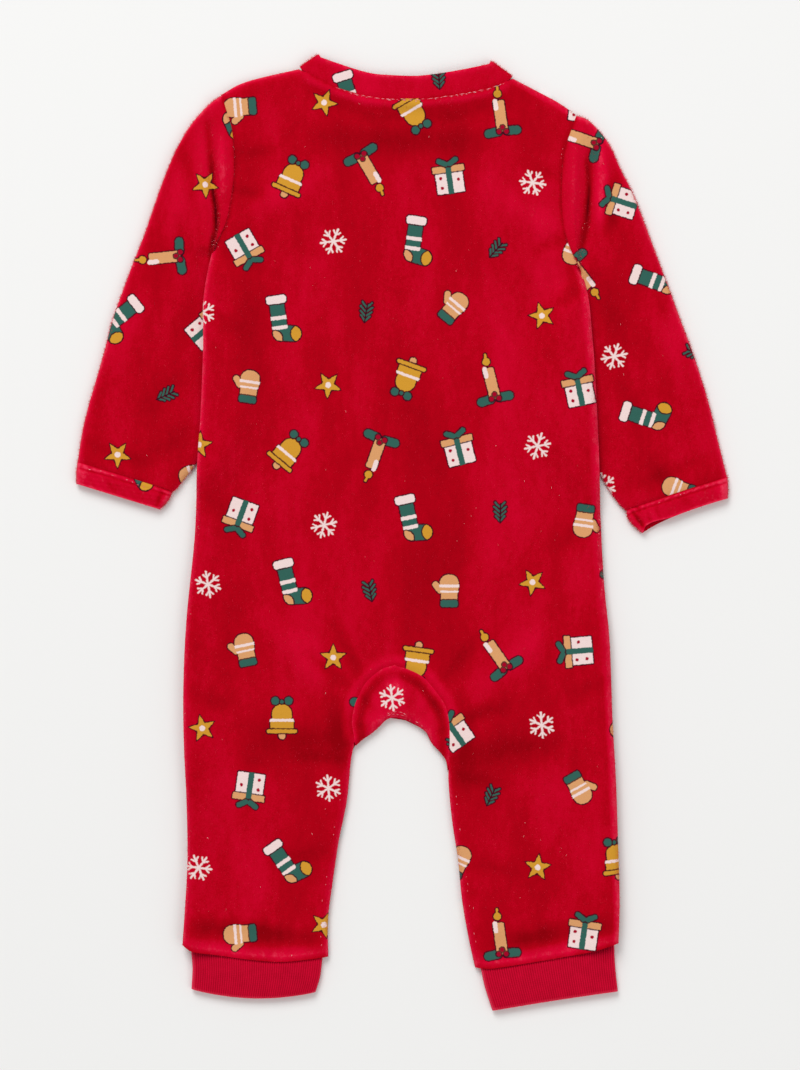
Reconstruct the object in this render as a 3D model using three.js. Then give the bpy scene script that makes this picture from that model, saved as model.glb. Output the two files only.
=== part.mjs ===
// A baby's onesie pajama in cotton velour, with ankle cuffs of fine rib, laid flat on its front.
// The back faces up, and the front rests on the surface at z = 0. All sizes are in millimetres.
// +X is to the right of a back view, which is the wearer's right, +Y runs from the feet to the neck
// and +Z is up from the surface. The origin is the middle of the footprint, on the surface.
import * as THREE from 'three';

// Cloth and seams
const velour = 1.6; // one layer of velour, its pile included
const thinEdge = 1.0; // the same layer where it is pulled round an edge
const sleeveCloth = 1.5; // a sleeve's layer, pressed flat
const seamGap = 0.35; // clearance between two pieces that are sewn together
const loft = 1.8; // air between the front and the back, away from the edges
const edgeRoll = 7; // width over which the back rolls down to an edge
const underBody = 4.2; // how far a tucked sleeve lifts the front that lies on it
const tuckRamp = 14; // width over which the front comes back down to the surface
const backRamp = 34; // the same for the back, which spans the dip
const risingLength = 17; // length below the underarm over which the cloth rises onto the sleeve
const slopeGap = 0.12; // extra clearance of the back where the front slopes

// Tables: each row is one place on the garment, with a name for each column
function table(columns, rows) {
  return rows.map((row) => Object.fromEntries(columns.map((name, i) => [name, row[i]])));
}

// The left side of the back view, from the shoulder tip down the armhole and the side to the hem
const leftSide = table(['y', 'x'], [
  [262.5, -108], [255, -105.8], [241, -101.8], [217, -100.6], [200, -102.6], [185, -105.6],
  [171.5, -112.5], [161, -115.3], [139, -118.8], [110, -119], [70, -120.6], [41, -122.6],
  [0, -124], [-52, -129], [-90, -130.8], [-125, -130.6], [-160, -129], [-196, -128.4],
  [-220, -129.6], [-246.9, -131.4],
]);
const leftUnderarm = 171.5;

// The right side, in the same way
const rightSide = table(['y', 'x'], [
  [250, 104.6], [242, 101.7], [227, 97], [201, 95.6], [183, 97], [170, 101], [157, 107.4],
  [141, 111.4], [120, 113.6], [100, 115.2], [48, 117.8], [10, 118.9], [-30, 121], [-64, 124.2],
  [-112, 126], [-148, 128], [-184, 129.2], [-220, 130.2], [-245.7, 129.6],
]);
const rightUnderarm = 157;

// The back's inner edges: centre line down to the top of the gusset, round it, then inside the legs
const leftMiddle = table(['y', 'x'], [
  [259.8, 2], [-79.5, -4.2], [-81.3, -10.8], [-88.5, -20.4], [-99.9, -27], [-113, -30],
  [-124.5, -28.6], [-136.5, -30.6], [-160.5, -33], [-184.5, -37.8], [-208.5, -41.4],
  [-232.5, -44.4], [-254.1, -44.2],
]);
const rightMiddle = table(['y', 'x'], [
  [259.8, 2], [-79.5, -4.2], [-81.9, 3.6], [-86.1, 12], [-93.3, 18.6], [-103.5, 25.8],
  [-116, 28.4], [-136.5, 28.2], [-148.5, 27.8], [-172.5, 30], [-196.5, 33.6], [-220.5, 36],
  [-244.5, 40.2], [-260.7, 43.8],
]);

// The fronts' inner edges: beside the placket, along the gusset's lower edge, then inside the legs
const placketMiddle = 2; // x of the centre front
const placketHalf = 9; // half the placket's width
const leftFrontMiddle = table(['y', 'x'], [
  [220, placketMiddle - placketHalf - seamGap], [-109, placketMiddle - placketHalf - seamGap],
  [-112, -9.6], [-116, -13.2], [-120.3, -18], [-124.2, -24], [-128.4, -28.6], [-136.5, -30.6],
  [-160.5, -33], [-184.5, -37.8], [-208.5, -41.4], [-232.5, -44.4], [-254.1, -44.2],
]);
const rightFrontMiddle = table(['y', 'x'], [
  [220, placketMiddle + placketHalf + seamGap], [-115, placketMiddle + placketHalf + seamGap],
  [-119.7, 14.4], [-126.3, 17.8], [-131.7, 22.8], [-136.5, 26.4], [-144.9, 28], [-160.5, 28.8],
  [-172.5, 30], [-196.5, 33.6], [-220.5, 36], [-244.5, 40.2], [-260.7, 43.8],
]);

// Shoulder seams, neck seam of the back, and the hem seams above the cuffs
const leftShoulder = table(['x', 'y'], [[-108, 262.5], [-97.8, 268.3], [-86.4, 272], [-62, 277.6]]);
const rightShoulder = table(['x', 'y'], [[66.6, 271.9], [79.8, 265], [93.6, 257.6], [104.6, 250]]);
const backNeck = table(['x', 'y'], [
  [-62, 277.6], [-47.4, 270.9], [-39, 266.6], [-27, 263], [-15.6, 261], [2, 259.8], [14, 260.2],
  [27, 262], [39, 263.7], [55, 267.4], [66.6, 271.9],
]);
const leftHem = table(['x', 'y'], [
  [-131.4, -246.9], [-126, -250.6], [-111.6, -252.9], [-93.6, -255.6], [-73.2, -257.2],
  [-56.4, -255.8], [-44.2, -254.1],
]);
const rightHem = table(['x', 'y'], [
  [43.8, -260.7], [52.8, -261.3], [69.6, -258.9], [101.4, -253.5], [115.8, -250.4], [129.6, -245.7],
]);

// Value of one column at a place along another, on a smooth curve through the rows
function smoothAt(rows, along, column, place) {
  const last = rows.length - 1;
  const rising = rows[last][along] > rows[0][along];
  const past = (row) => (rising ? place > row[along] : place < row[along]);
  let i = 0;
  while (i < last - 1 && past(rows[i + 1])) i += 1;
  const slope = (k) => {
    const before = rows[Math.max(k - 1, 0)];
    const after = rows[Math.min(k + 1, last)];
    return (after[column] - before[column]) / (after[along] - before[along]);
  };
  const span = rows[i + 1][along] - rows[i][along];
  const t = clamp((place - rows[i][along]) / span);
  const rise = rows[i + 1][column] - rows[i][column];
  const ease = t * t * (3 - 2 * t);
  const leaving = t * (1 - t) * (1 - t) * span * slope(i);
  const arriving = t * t * (t - 1) * span * slope(i + 1);
  return rows[i][column] + rise * ease + leaving + arriving;
}

function clamp(value) {
  return Math.min(1, Math.max(0, value));
}

function smooth(value) {
  const t = clamp(value);
  return t * t * (3 - 2 * t);
}

// Quarter circle: 0 at an edge, 1 where the roll ends
function roll(share) {
  return Math.sqrt(1 - (1 - clamp(share)) ** 2);
}

function mix(a, b, share) {
  return a.map((value, i) => value + (b[i] - value) * share);
}

// Points of a curve that a table gives, from one place to another
function trace(rows, along, column, from, to, count) {
  const points = [];
  for (let i = 0; i <= count; i += 1) {
    const place = from + ((to - from) * i) / count;
    const value = smoothAt(rows, along, column, place);
    points.push(along === 'x' ? [place, value] : [value, place]);
  }
  return points;
}

// Free edges, where the back's cloth turns down to meet the front
const gussetLower = [
  [-27.6, -127.8], [-24, -124.4], [-18, -120.3], [-13.2, -116], [-9, -112], [-3, -110.7],
  [2.7, -112.5], [8.4, -115.5], [14.4, -119.7], [17.8, -126.3], [22.8, -131.7], [26.2, -136.5],
  [27.4, -143.5],
];
const freeEdges = [
  trace(leftShoulder, 'x', 'y', -108, -62, 8),
  trace(rightShoulder, 'x', 'y', 66.6, 104.6, 8),
  trace(leftSide, 'y', 'x', leftUnderarm, -246.9, 48),
  trace(rightSide, 'y', 'x', rightUnderarm, -245.7, 48),
  trace(leftMiddle, 'y', 'x', -128, -254.1, 16),
  gussetLower,
  trace(rightMiddle, 'y', 'x', -144, -260.7, 16),
];

function distanceToEdge(x, y) {
  let least = Infinity;
  for (const edge of freeEdges) {
    for (let i = 1; i < edge.length; i += 1) {
      const [ax, ay] = edge[i - 1];
      const [dx, dy] = [edge[i][0] - ax, edge[i][1] - ay];
      const t = clamp(((x - ax) * dx + (y - ay) * dy) / (dx * dx + dy * dy));
      least = Math.min(least, Math.hypot(x - ax - t * dx, y - ay - t * dy));
    }
  }
  return least;
}

// Inner edges of the sleeves where they are tucked under the body
const leftTuck = table(['y', 'x'], [
  [171.5, -128], [160, -119], [150, -109], [142, -106], [128, -103], [112, -100],
  [95, -98.5], [77, -101], [58, -108], [41, -118], [23, -134],
]);
const rightTuck = table(['y', 'x'], [
  [157, 126], [145, 117], [133, 108], [119, 102], [105, 98], [90, 96], [74, 97],
  [59, 100.5], [45.5, 106.5], [34.5, 114], [12, 131],
]);

// How far the cloth is held off the surface by a sleeve beneath it, coming down over a ramp
function lift(x, y, ramp) {
  const left = (smoothAt(leftTuck, 'y', 'x', y) + ramp - x) / ramp;
  const right = (x - smoothAt(rightTuck, 'y', 'x', y) + ramp) / ramp;
  const below = smooth(((x < 0 ? leftUnderarm : rightUnderarm) - y) / risingLength);
  return underBody * Math.max(smooth(left), smooth(right)) * below;
}

// Soft folds of the back: a line from one end to the other, its width and its depth, down if negative
const folds = table(['x1', 'y1', 'x2', 'y2', 'width', 'depth'], [
  [-52, 262, -20, 250, 5, -0.9], // trough under the left of the neck seam
  [-20, 250, 30, 250, 5, -1.0], // trough under the middle of the neck seam
  [30, 250, 62, 258, 5, -0.8], // trough under the right of the neck seam
  [-96, 190, -52, 214, 9, 0.8], // drag from the left underarm to the shoulder blade
  [92, 182, 54, 204, 9, 0.7], // drag from the right underarm
  [-60, 150, -74, 20, 13, 0.6], // long soft swell down the left of the back
  [62, 130, 72, -10, 13, 0.5], // long soft swell down the right of the back
  [-4, 190, 2, 60, 14, -0.5], // shallow valley down the middle
  [-34, -100, -82, -52, 9, 0.8], // drag from the crotch towards the left hip
  [34, -106, 80, -62, 9, 0.7], // drag from the crotch towards the right hip
  [-30, -128, -96, -118, 8, -0.7], // valley across the top of the left leg
  [30, -134, 92, -126, 8, -0.7], // valley across the top of the right leg
  [-84, -150, -88, -226, 10, 0.6], // swell down the left leg
  [82, -150, 88, -226, 10, 0.6], // swell down the right leg
  [-122, -238, -54, -244, 6, -1.0], // trough above the left cuff seam
  [56, -248, 122, -236, 6, -1.0], // trough above the right cuff seam
]);

function foldHeight(x, y) {
  let height = 0;
  for (const { x1, y1, x2, y2, width, depth } of folds) {
    const [dx, dy] = [x2 - x1, y2 - y1];
    const t = clamp(((x - x1) * dx + (y - y1) * dy) / (dx * dx + dy * dy));
    const away = Math.hypot(x - x1 - t * dx, y - y1 - t * dy);
    height += depth * Math.exp(-((away / width) ** 2)) * (0.55 + 0.45 * Math.sin(Math.PI * t));
  }
  return height;
}

// The seam allowance under the neck seam and round the gusset makes a raised cord beside the seam
const allowance = { reach: 3.4, width: 2.6, height: 0.7 };
const raisedSeams = [
  trace(backNeck, 'x', 'y', -58, 62, 24),
  [
    ...trace(leftMiddle, 'y', 'x', -120, -81, 14),
    ...trace(rightMiddle, 'y', 'x', -81, -130, 16),
  ],
];

function allowanceHeight(x, y) {
  let away = Infinity;
  for (const seam of raisedSeams) {
    for (const [sx, sy] of seam) away = Math.min(away, Math.hypot(x - sx, y - sy));
  }
  return allowance.height * Math.exp(-(((away - allowance.reach) / allowance.width) ** 2));
}

// Heights of the layers above the surface
const frontBottom = (x, y) => lift(x, y, tuckRamp);
const frontTop = (x, y) => frontBottom(x, y) + velour;

function backBottom(x, y) {
  const share = roll(distanceToEdge(x, y) / edgeRoll);
  const held = lift(x, y, tuckRamp);
  const spanned = lift(x, y, backRamp) - held;
  const overSlope = slopeGap * held * (underBody - held);
  const air = Math.max(0.3, loft + foldHeight(x, y) + allowanceHeight(x, y)) + spanned;
  return frontTop(x, y) + seamGap + overSlope + air * share;
}

function backTop(x, y) {
  const share = roll(distanceToEdge(x, y) / edgeRoll);
  return backBottom(x, y) + thinEdge + (velour - thinEdge) * share;
}

// A wall of cloth between two sets of matching points: outer face, inner face and the cut edges
function clothWall(outer, inner, cells) {
  const triangles = [];
  const quad = (a, b, c, d) => triangles.push(a, b, c, a, c, d);
  const edges = new Map();
  for (const cell of cells) {
    cell.forEach((a, i) => edges.set(`${a} ${cell[(i + 1) % 4]}`, [a, cell[(i + 1) % 4]]));
  }
  const n = outer.length;
  for (const [a, b, c, d] of cells) {
    quad(a, b, c, d);
    quad(d + n, c + n, b + n, a + n);
  }
  for (const [a, b] of edges.values()) {
    if (!edges.has(`${b} ${a}`)) quad(b, a, a + n, b + n);
  }
  const points = [...outer, ...inner];
  if (signedVolume(points, triangles) < 0) triangles.reverse();
  const geometry = new THREE.BufferGeometry();
  geometry.setAttribute('position', new THREE.Float32BufferAttribute(points.flat(), 3));
  geometry.setIndex(triangles);
  geometry.computeVertexNormals();
  return geometry;
}

function signedVolume(points, triangles) {
  let sum = 0;
  const [a, b, c] = [new THREE.Vector3(), new THREE.Vector3(), new THREE.Vector3()];
  for (let i = 0; i < triangles.length; i += 3) {
    a.fromArray(points[triangles[i]]);
    b.fromArray(points[triangles[i + 1]]);
    c.fromArray(points[triangles[i + 2]]);
    sum += a.dot(b.cross(c));
  }
  return sum;
}

// A flat pattern of points and four-cornered cells, which shares points that fall together
function newPattern() {
  return { points: [], cells: [], byPlace: new Map() };
}

function pointIn(pattern, [x, y]) {
  const key = `${x.toFixed(3)} ${y.toFixed(3)}`;
  if (!pattern.byPlace.has(key)) {
    pattern.byPlace.set(key, pattern.points.length);
    pattern.points.push([x, y]);
  }
  return pattern.byPlace.get(key);
}

// Adds a grid to a pattern: rows run down the garment, columns run to the right
function addGrid(pattern, rows, columns, place) {
  const at = (i, j) => pointIn(pattern, place(i, j));
  for (let i = 0; i < rows; i += 1) {
    for (let j = 0; j < columns; j += 1) {
      pattern.cells.push([at(i, j), at(i + 1, j), at(i + 1, j + 1), at(i, j + 1)]);
    }
  }
}

function panelGeometry(pattern, topOf, bottomOf) {
  const top = pattern.points.map(([x, y]) => [x, y, topOf(x, y)]);
  const bottom = pattern.points.map(([x, y]) => [x, y, bottomOf(x, y)]);
  return clothWall(top, bottom, pattern.cells);
}

// Rows of a panel between its listed sections. left and right are the heights at the side edges,
// middle ones those at the inner edges, top and hem the share of the top edge's and the hem's shape.
function spread(sections) {
  const rows = [];
  sections.forEach((section, k) => {
    const next = sections[k + 1];
    if (!next) {
      rows.push(section);
      return;
    }
    for (let step = 0; step < section.steps; step += 1) {
      const share = step / section.steps;
      const names = Object.keys(section);
      rows.push(Object.fromEntries(
        names.map((name) => [name, section[name] + (next[name] - section[name]) * share]),
      ));
    }
  });
  return rows;
}

const sectionColumns = ['left', 'midLeft', 'midRight', 'right', 'top', 'hem', 'steps'];
const backRows = spread(table(sectionColumns, [
  [262.5, 259.8, 259.8, 250, 1, 0, 2], // shoulder tips and neck seam
  [254.5, 251.8, 251.8, 242, 1, 0, 7], // foot of the raised seam under the neck
  [171.5, 165, 165, 157, 0, 0, 10], // underarms
  [41, 38, 38, 35, 0, 0, 8], // where the sleeves come out from under the sides
  [-66, -70, -70, -67, 0, 0, 1],
  [-75, -79.5, -79.5, -76, 0, 0, 1], // top of the gusset
  [-78.5, -80.4, -80.4, -80, 0, 0, 1],
  [-83, -82.8, -82.8, -84, 0, 0, 1],
  [-88.5, -86.8, -86.8, -89, 0, 0, 1],
  [-94.5, -92.5, -92.5, -95, 0, 0, 1],
  [-101.5, -99.5, -99.5, -102, 0, 0, 1],
  [-109, -107.5, -107.5, -110, 0, 0, 1],
  [-117, -116, -116, -118, 0, 0, 1],
  [-125.5, -124.5, -124.5, -127, 0, 0, 1], // left end of the gusset
  [-132, -130.5, -130.5, -133, 0, 0, 1],
  [-138, -136.5, -136.5, -139, 0, 0, 1], // right end of the gusset
  [-149, -147.5, -147.5, -150, 0, 0, 8],
  [-246.9, -254.1, -260.7, -245.7, 0, 1, 1], // hems
]));
const frontRows = spread(table(sectionColumns, [
  [262.5, 213, 213, 250, 1, 0, 7], // shoulder tips and front neck seam
  [171.5, 150, 150, 157, 0, 0, 8], // underarms
  [41, 34, 34, 35, 0, 0, 7],
  [-91, -100, -100, -92, 0, 0, 1],
  [-99, -109, -109, -101, 0, 0, 1], // lower end of the placket
  [-103.5, -112, -112, -105.5, 0, 0, 1],
  [-108.5, -116, -115, -110, 0, 0, 1],
  [-114, -120.3, -119.7, -115, 0, 0, 1],
  [-120, -124.2, -126.3, -122, 0, 0, 1],
  [-127, -128.4, -131.7, -129, 0, 0, 1],
  [-135, -136.5, -136.5, -136, 0, 0, 1],
  [-144, -146, -144.9, -144, 0, 0, 7],
  [-246.9, -254.1, -260.7, -245.7, 0, 1, 1], // hems
]));
const shoulderColumns = 3;
const neckColumns = 5;
const halfColumns = shoulderColumns + neckColumns;

// A half panel is straight across from its side edge to its inner edge, with the shape of its top
// edge and its hem blended in at the ends
function halfPanelPoint(rows, i, share, half, topPoint) {
  const row = rows[i];
  const first = rows[0];
  const last = rows[rows.length - 1];
  const across = (r) => mix(half.side(r), half.middle(r), share);
  const point = across(row);
  const top = topPoint(share);
  const start = across(first);
  const end = across(last);
  point[0] += (top[0] - start[0]) * row.top;
  point[1] += (top[1] - start[1]) * row.top;
  point[1] += (smoothAt(half.hem, 'x', 'y', end[0]) - end[1]) * row.hem;
  return point;
}

function half(side, sideKey, middle, middleKey, hem) {
  return {
    side: (row) => [smoothAt(side, 'y', 'x', row[sideKey]), row[sideKey]],
    middle: (row) => [middleAt(middle, row[middleKey]), row[middleKey]],
    hem,
  };
}

// An inner edge is straight down to its second row, and then follows its table
function middleAt(rows, y) {
  const [first, second] = rows;
  if (y < second.y) return smoothAt(rows, 'y', 'x', y);
  return first.x + ((second.x - first.x) * (first.y - y)) / (first.y - second.y);
}

const backLeft = half(leftSide, 'left', leftMiddle, 'midLeft', leftHem);
const backRight = half(rightSide, 'right', rightMiddle, 'midRight', rightHem);
const frontLeft = half(leftSide, 'left', leftFrontMiddle, 'midLeft', leftHem);
const frontRight = half(rightSide, 'right', rightFrontMiddle, 'midRight', rightHem);

// Top edges, by share of the way from a shoulder tip to the middle: the shoulder, then the neck
const neckShare = shoulderColumns / halfColumns;

function topEdge(shoulder, neckPoint) {
  const [first, last] = [shoulder[0], shoulder[shoulder.length - 1]];
  const [tip, neck] = Math.abs(first.x) > Math.abs(last.x) ? [first, last] : [last, first];
  return (share) => {
    if (share > neckShare) return neckPoint((share - neckShare) / (1 - neckShare));
    const x = tip.x + ((neck.x - tip.x) * share) / neckShare;
    return [x, smoothAt(shoulder, 'x', 'y', x)];
  };
}

function backNeckPoint(fromX) {
  return (share) => {
    const x = fromX + (placketMiddle - fromX) * share;
    return [x, smoothAt(backNeck, 'x', 'y', x)];
  };
}

// The front neck is scooped: a quarter ellipse from each neck point down to the centre front
const frontNeckDepth = 212; // y of the front neck seam at the centre front
const leftNeck = { x: -62, y: 277.6 };
const rightNeck = { x: 66.6, y: 271.9 };

function frontNeckAt(neck, angle) {
  const halfWidth = placketMiddle - neck.x;
  const depth = neck.y - frontNeckDepth;
  return [placketMiddle - halfWidth * Math.cos(angle), neck.y - depth * Math.sin(angle)];
}

function placketAngle(neck) {
  return Math.acos((placketHalf + seamGap) / Math.abs(placketMiddle - neck.x));
}

const frontNeckPoint = (neck) => (share) => frontNeckAt(neck, placketAngle(neck) * share);

// The back, in one piece with both back legs
function makeBack() {
  const pattern = newPattern();
  const leftTop = topEdge(leftShoulder, backNeckPoint(leftNeck.x));
  const rightTop = topEdge(rightShoulder, backNeckPoint(rightNeck.x));
  const rows = backRows.length - 1;
  addGrid(pattern, rows, halfColumns, (i, j) => (
    halfPanelPoint(backRows, i, j / halfColumns, backLeft, leftTop)));
  addGrid(pattern, rows, halfColumns, (i, j) => (
    halfPanelPoint(backRows, i, 1 - j / halfColumns, backRight, rightTop)));
  return panelGeometry(pattern, backTop, backBottom);
}

// A front, with its front leg, lying flat on the surface and over the tucked sleeve
function makeFront(panel, shoulder, neck, mirrored) {
  const pattern = newPattern();
  const top = topEdge(shoulder, frontNeckPoint(neck));
  addGrid(pattern, frontRows.length - 1, halfColumns, (i, j) => {
    const share = j / halfColumns;
    return halfPanelPoint(frontRows, i, mirrored ? 1 - share : share, panel, top);
  });
  return panelGeometry(pattern, frontTop, frontBottom);
}

// The placket down the centre front, with a hole for each popper
const placketEnds = { left: -111.2, middle: -112.6, right: -117 }; // just above the gusset
const popper = { count: 8, radius: 4.6, height: 2.6, first: 196, last: -92, sides: 12 };
const popperHeights = Array.from({ length: popper.count }, (_, i) => (
  popper.first + ((popper.last - popper.first) * i) / (popper.count - 1)));

function makePlacket() {
  const [leftX, rightX] = [placketMiddle - placketHalf, placketMiddle + placketHalf];
  const leftTop = frontNeckAt(leftNeck, placketAngle(leftNeck));
  const rightTop = frontNeckAt(rightNeck, placketAngle(rightNeck));
  const shape = new THREE.Shape();
  shape.moveTo(leftX, leftTop[1]);
  shape.lineTo(leftX, placketEnds.left);
  shape.lineTo(placketMiddle, placketEnds.middle);
  shape.lineTo(rightX, placketEnds.right);
  shape.lineTo(rightX, rightTop[1]);
  shape.lineTo(placketMiddle, frontNeckDepth);
  for (const y of popperHeights) {
    const hole = new THREE.Path();
    hole.absarc(placketMiddle, y, popper.radius + seamGap, 0, 2 * Math.PI, true);
    shape.holes.push(hole);
  }
  return new THREE.ExtrudeGeometry(shape, {
    depth: velour, bevelEnabled: false, curveSegments: popper.sides / 2,
  });
}

// A popper: a low cap with a rounded rim, its face level with the surface
function makePopper() {
  const { radius, height, sides } = popper;
  const profile = [
    [0, 0], [radius - 0.3, 0], [radius, 0.4], [radius, velour], [radius * 0.7, height], [0, height],
  ];
  return new THREE.LatheGeometry(profile.map(([r, z]) => new THREE.Vector2(r, z)), sides);
}

// The gusset: a crescent between the seam round its top and its lower edge
const gussetDepth = 4; // cells from the seam to the lower edge
const gussetMiddle = [0, -124];
const gussetTop = -79.5;
const gussetEnds = { left: -124.5, right: -136.5 }; // where it runs out down the two legs
const gussetGap = seamGap + 0.05; // its seam curves, so it stands off a little more

function makeGusset() {
  const heights = backRows.map((row) => row.midLeft);
  const leftYs = heights.filter((y) => y <= gussetTop && y >= gussetEnds.left).reverse();
  const rightYs = heights.filter((y) => y < gussetTop && y >= gussetEnds.right);
  const seam = [
    ...leftYs.map((y) => [smoothAt(leftMiddle, 'y', 'x', y), y]),
    ...rightYs.map((y) => [smoothAt(rightMiddle, 'y', 'x', y), y]),
  ];
  const upper = seam.map((point) => {
    const inward = new THREE.Vector2(gussetMiddle[0] - point[0], gussetMiddle[1] - point[1]);
    inward.setLength(gussetGap);
    return [point[0] + inward.x, point[1] + inward.y];
  });
  const curve = new THREE.SplineCurve(gussetLower.map(([x, y]) => new THREE.Vector2(x, y)));
  const upperCurve = new THREE.SplineCurve(upper.map(([x, y]) => new THREE.Vector2(x, y)));
  const lengths = upperCurve.getLengths(upper.length - 1);
  const total = lengths[lengths.length - 1];
  const lower = lengths.map((length) => curve.getPointAt(length / total).toArray());
  const pattern = newPattern();
  addGrid(pattern, gussetDepth, upper.length - 1, (i, j) => mix(upper[j], lower[j], i / gussetDepth));
  return panelGeometry(pattern, backTop, backBottom);
}

// A flattened tube of cloth. Each section has its two edge points, a point for each share of the
// way across and a height for it. rollWidth is how wide its rounded edges are.
const edgeSteps = [0, 0.7, 2.2, 4.6]; // places from an edge that carry the roll
const middleSteps = 6; // cells between the two rolls

function tubeShares(width) {
  const edge = edgeSteps.map((step) => step / width);
  const flat = [];
  for (let i = 1; i < middleSteps; i += 1) {
    flat.push(edge[3] + ((1 - 2 * edge[3]) * i) / middleSteps);
  }
  return [...edge, ...flat, ...edge.map((share) => 1 - share).reverse()];
}

function tubeGeometry(sections, wall, rollWidth) {
  const outer = [];
  const inner = [];
  for (const section of sections) {
    const { width, shares, topAt, pointAt } = section;
    const down = shares.slice(1, -1).reverse();
    const ring = [
      ...shares.map((share) => ({ share, upper: true })),
      ...(section.lowerShares || down).map((share) => ({ share, upper: false })),
    ];
    for (const { share, upper } of ring) {
      const inset = (wall + share * (width - 2 * wall)) / width;
      outer.push(ringPoint(pointAt(share, upper), share, upper, topAt(share, true), 0, width, rollWidth));
      const top = topAt(share, false) - wall;
      inner.push(ringPoint(pointAt(inset, upper), inset, upper, top, wall, width, rollWidth, wall));
    }
  }
  const count = outer.length / sections.length;
  const cells = [];
  for (let k = 0; k < sections.length - 1; k += 1) {
    for (let m = 0; m < count; m += 1) {
      const next = (m + 1) % count;
      cells.push([k * count + m, (k + 1) * count + m, (k + 1) * count + next, k * count + next]);
    }
  }
  return clothWall(outer, inner, cells);
}

function ringPoint([x, y], share, upper, top, bottom, width, rollWidth, inset = 0) {
  const away = Math.min(share, 1 - share) * width - inset;
  const rounded = roll(away / (rollWidth - inset));
  const level = (top + bottom) / 2;
  return [x, y, level + ((upper ? top : bottom) - level) * rounded];
}

// A straight section with a bow, positive towards +X
function bowedPoint(section, share) {
  const [x, y] = mix([section.outX, section.outY], [section.inX, section.inY], share);
  return [x + section.bow * 4 * share * (1 - share), y];
}

function sectionWidth(section) {
  return Math.hypot(section.inX - section.outX, section.inY - section.outY);
}

// Sleeves: sections from the armhole seam to the wrist seam, each from the outer fold to the inner
// one. The first follows the armhole, the next ones make the puffed strip and the crease beside it.
const sleeveColumns = ['outX', 'outY', 'inX', 'inY', 'bow', 'top'];
const leftSleeve = table(sleeveColumns, [
  [-108.4, 262.1, -113, 172, 0, 5.3], // armhole seam
  [-113.6, 258.2, -114.4, 169.4, 7, 6.3], // middle of the puffed strip
  [-119.6, 252.6, -115.4, 166, 3, 4.1], // crease
  [-127, 243.6, -116.6, 161, 1, 5],
  [-135, 230, -118, 153.5, 0, 5.6],
  [-142, 213.5, -117.4, 143, 0, 5.6],
  [-148.2, 196.5, -110, 128.5, 0, 5.4],
  [-154.4, 178.5, -105, 113, 0, 5.2],
  [-161.5, 160.5, -103.2, 97, 0, 5.2],
  [-167.8, 143.5, -105.6, 79, 0, 5.3],
  [-173.6, 127, -111, 64, 0, 5.3],
  [-178, 110, -118, 50, 0, 5.2],
  [-182.8, 93, -124.6, 39.5, 0, 5],
  [-187.6, 77, -130.8, 31.6, 0, 4.9],
  [-191.6, 60, -134.8, 26.6, 0, 4.8],
  [-194.4, 42.2, -137.4, 24.2, 1, 4.5], // wrist seam
]);
const rightSleeve = table(sleeveColumns, [
  [105, 249.8, 107.9, 157.4, 0, 5.3], // armhole seam
  [110.4, 247.6, 109.4, 154.6, -6, 6.2], // middle of the puffed strip
  [117.4, 241.6, 110.6, 151, -2, 4.3], // crease
  [124.5, 232, 112, 146, -1, 5.2],
  [131, 217.6, 113.6, 139.5, 0, 5.8],
  [137.4, 205, 113, 130.5, 0, 5.6],
  [143, 191.5, 108.6, 118.5, 0, 5.4],
  [148.6, 176.5, 103.2, 104, 0, 5.2],
  [154.8, 160, 100.7, 89, 0, 5.2],
  [161, 143.5, 102.2, 73, 0, 5.3],
  [167, 127, 106.8, 58.5, 0, 5.3],
  [173, 111, 112.8, 45, 0, 5.2],
  [178.6, 94.5, 119.2, 34, 0, 5],
  [183.9, 77, 124.8, 24.4, 0, 4.9],
  [188.8, 57, 130.2, 17, 0, 4.8],
  [194.8, 33.2, 134.2, 13.2, -1, 4.5], // wrist seam
]);
const tuckedTop = 3.45; // height of a sleeve under the body
const risingWidth = 14; // width over which it rises to its free height
const sleeveRoll = 4.5;
const armholeGap = 0.6; // clearance at the armhole seams, which curve
const creaseSections = 3; // the first sections, which make the puffed strip and the crease
const risingStart = 2; // a sleeve rises from this far outside the edge of the body

function makeSleeve(sections, side, underarm, sign) {
  const rings = sections.map((section, k) => {
    const width = sectionWidth(section);
    const pointAt = (share) => {
      if (k > 0) return bowedPoint(section, share);
      const y = section.outY + (section.inY - section.outY) * share;
      return [smoothAt(side, 'y', 'x', y) + sign * armholeGap, y];
    };
    const topAt = (share) => {
      const [x, y] = pointAt(share);
      if (y > underarm || k < creaseSections) return section.top;
      const outside = sign * (x - smoothAt(side, 'y', 'x', y));
      return tuckedTop + (section.top - tuckedTop) * smooth((outside - risingStart) / risingWidth);
    };
    return { width, shares: tubeShares(width), pointAt, topAt };
  });
  return tubeGeometry(rings, sleeveCloth, sleeveRoll);
}

// Wrist bands: the seam with the sleeve, the fold of the hem, and how far the upper layer is drawn
// back at the inner corner, where the mouth of the sleeve stands a little open
const bandCloth = 1.9;
const bandRoll = 3.4;
const mouthFrom = 0.58; // share of the way across where the mouth begins to open
const mouthRise = 0.3; // share over which it opens
const mouthEnd = 0.07; // share over which it closes again to the inner fold
const bandColumns = [...sleeveColumns, 'open'];
const leftBand = table(bandColumns, [
  [-194.6, 41.6, -137.8, 23.6, 1, 4.7, 0], // wrist seam
  [-195.2, 35.4, -140, 19.4, 1, 5, 0],
  [-195.2, 29.2, -145.2, 13.8, 0, 4.6, 0], // fold of the hem
]);
const rightBand = table(bandColumns, [
  [195, 32.6, 134.4, 12.6, -1, 4.7, 0], // wrist seam
  [195.4, 26.6, 136.4, 6.8, -3, 5, 0.8],
  [195.2, 20.4, 144, -0.4, -5.6, 4.6, 3], // fold of the hem, open at the inner corner
]);

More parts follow.
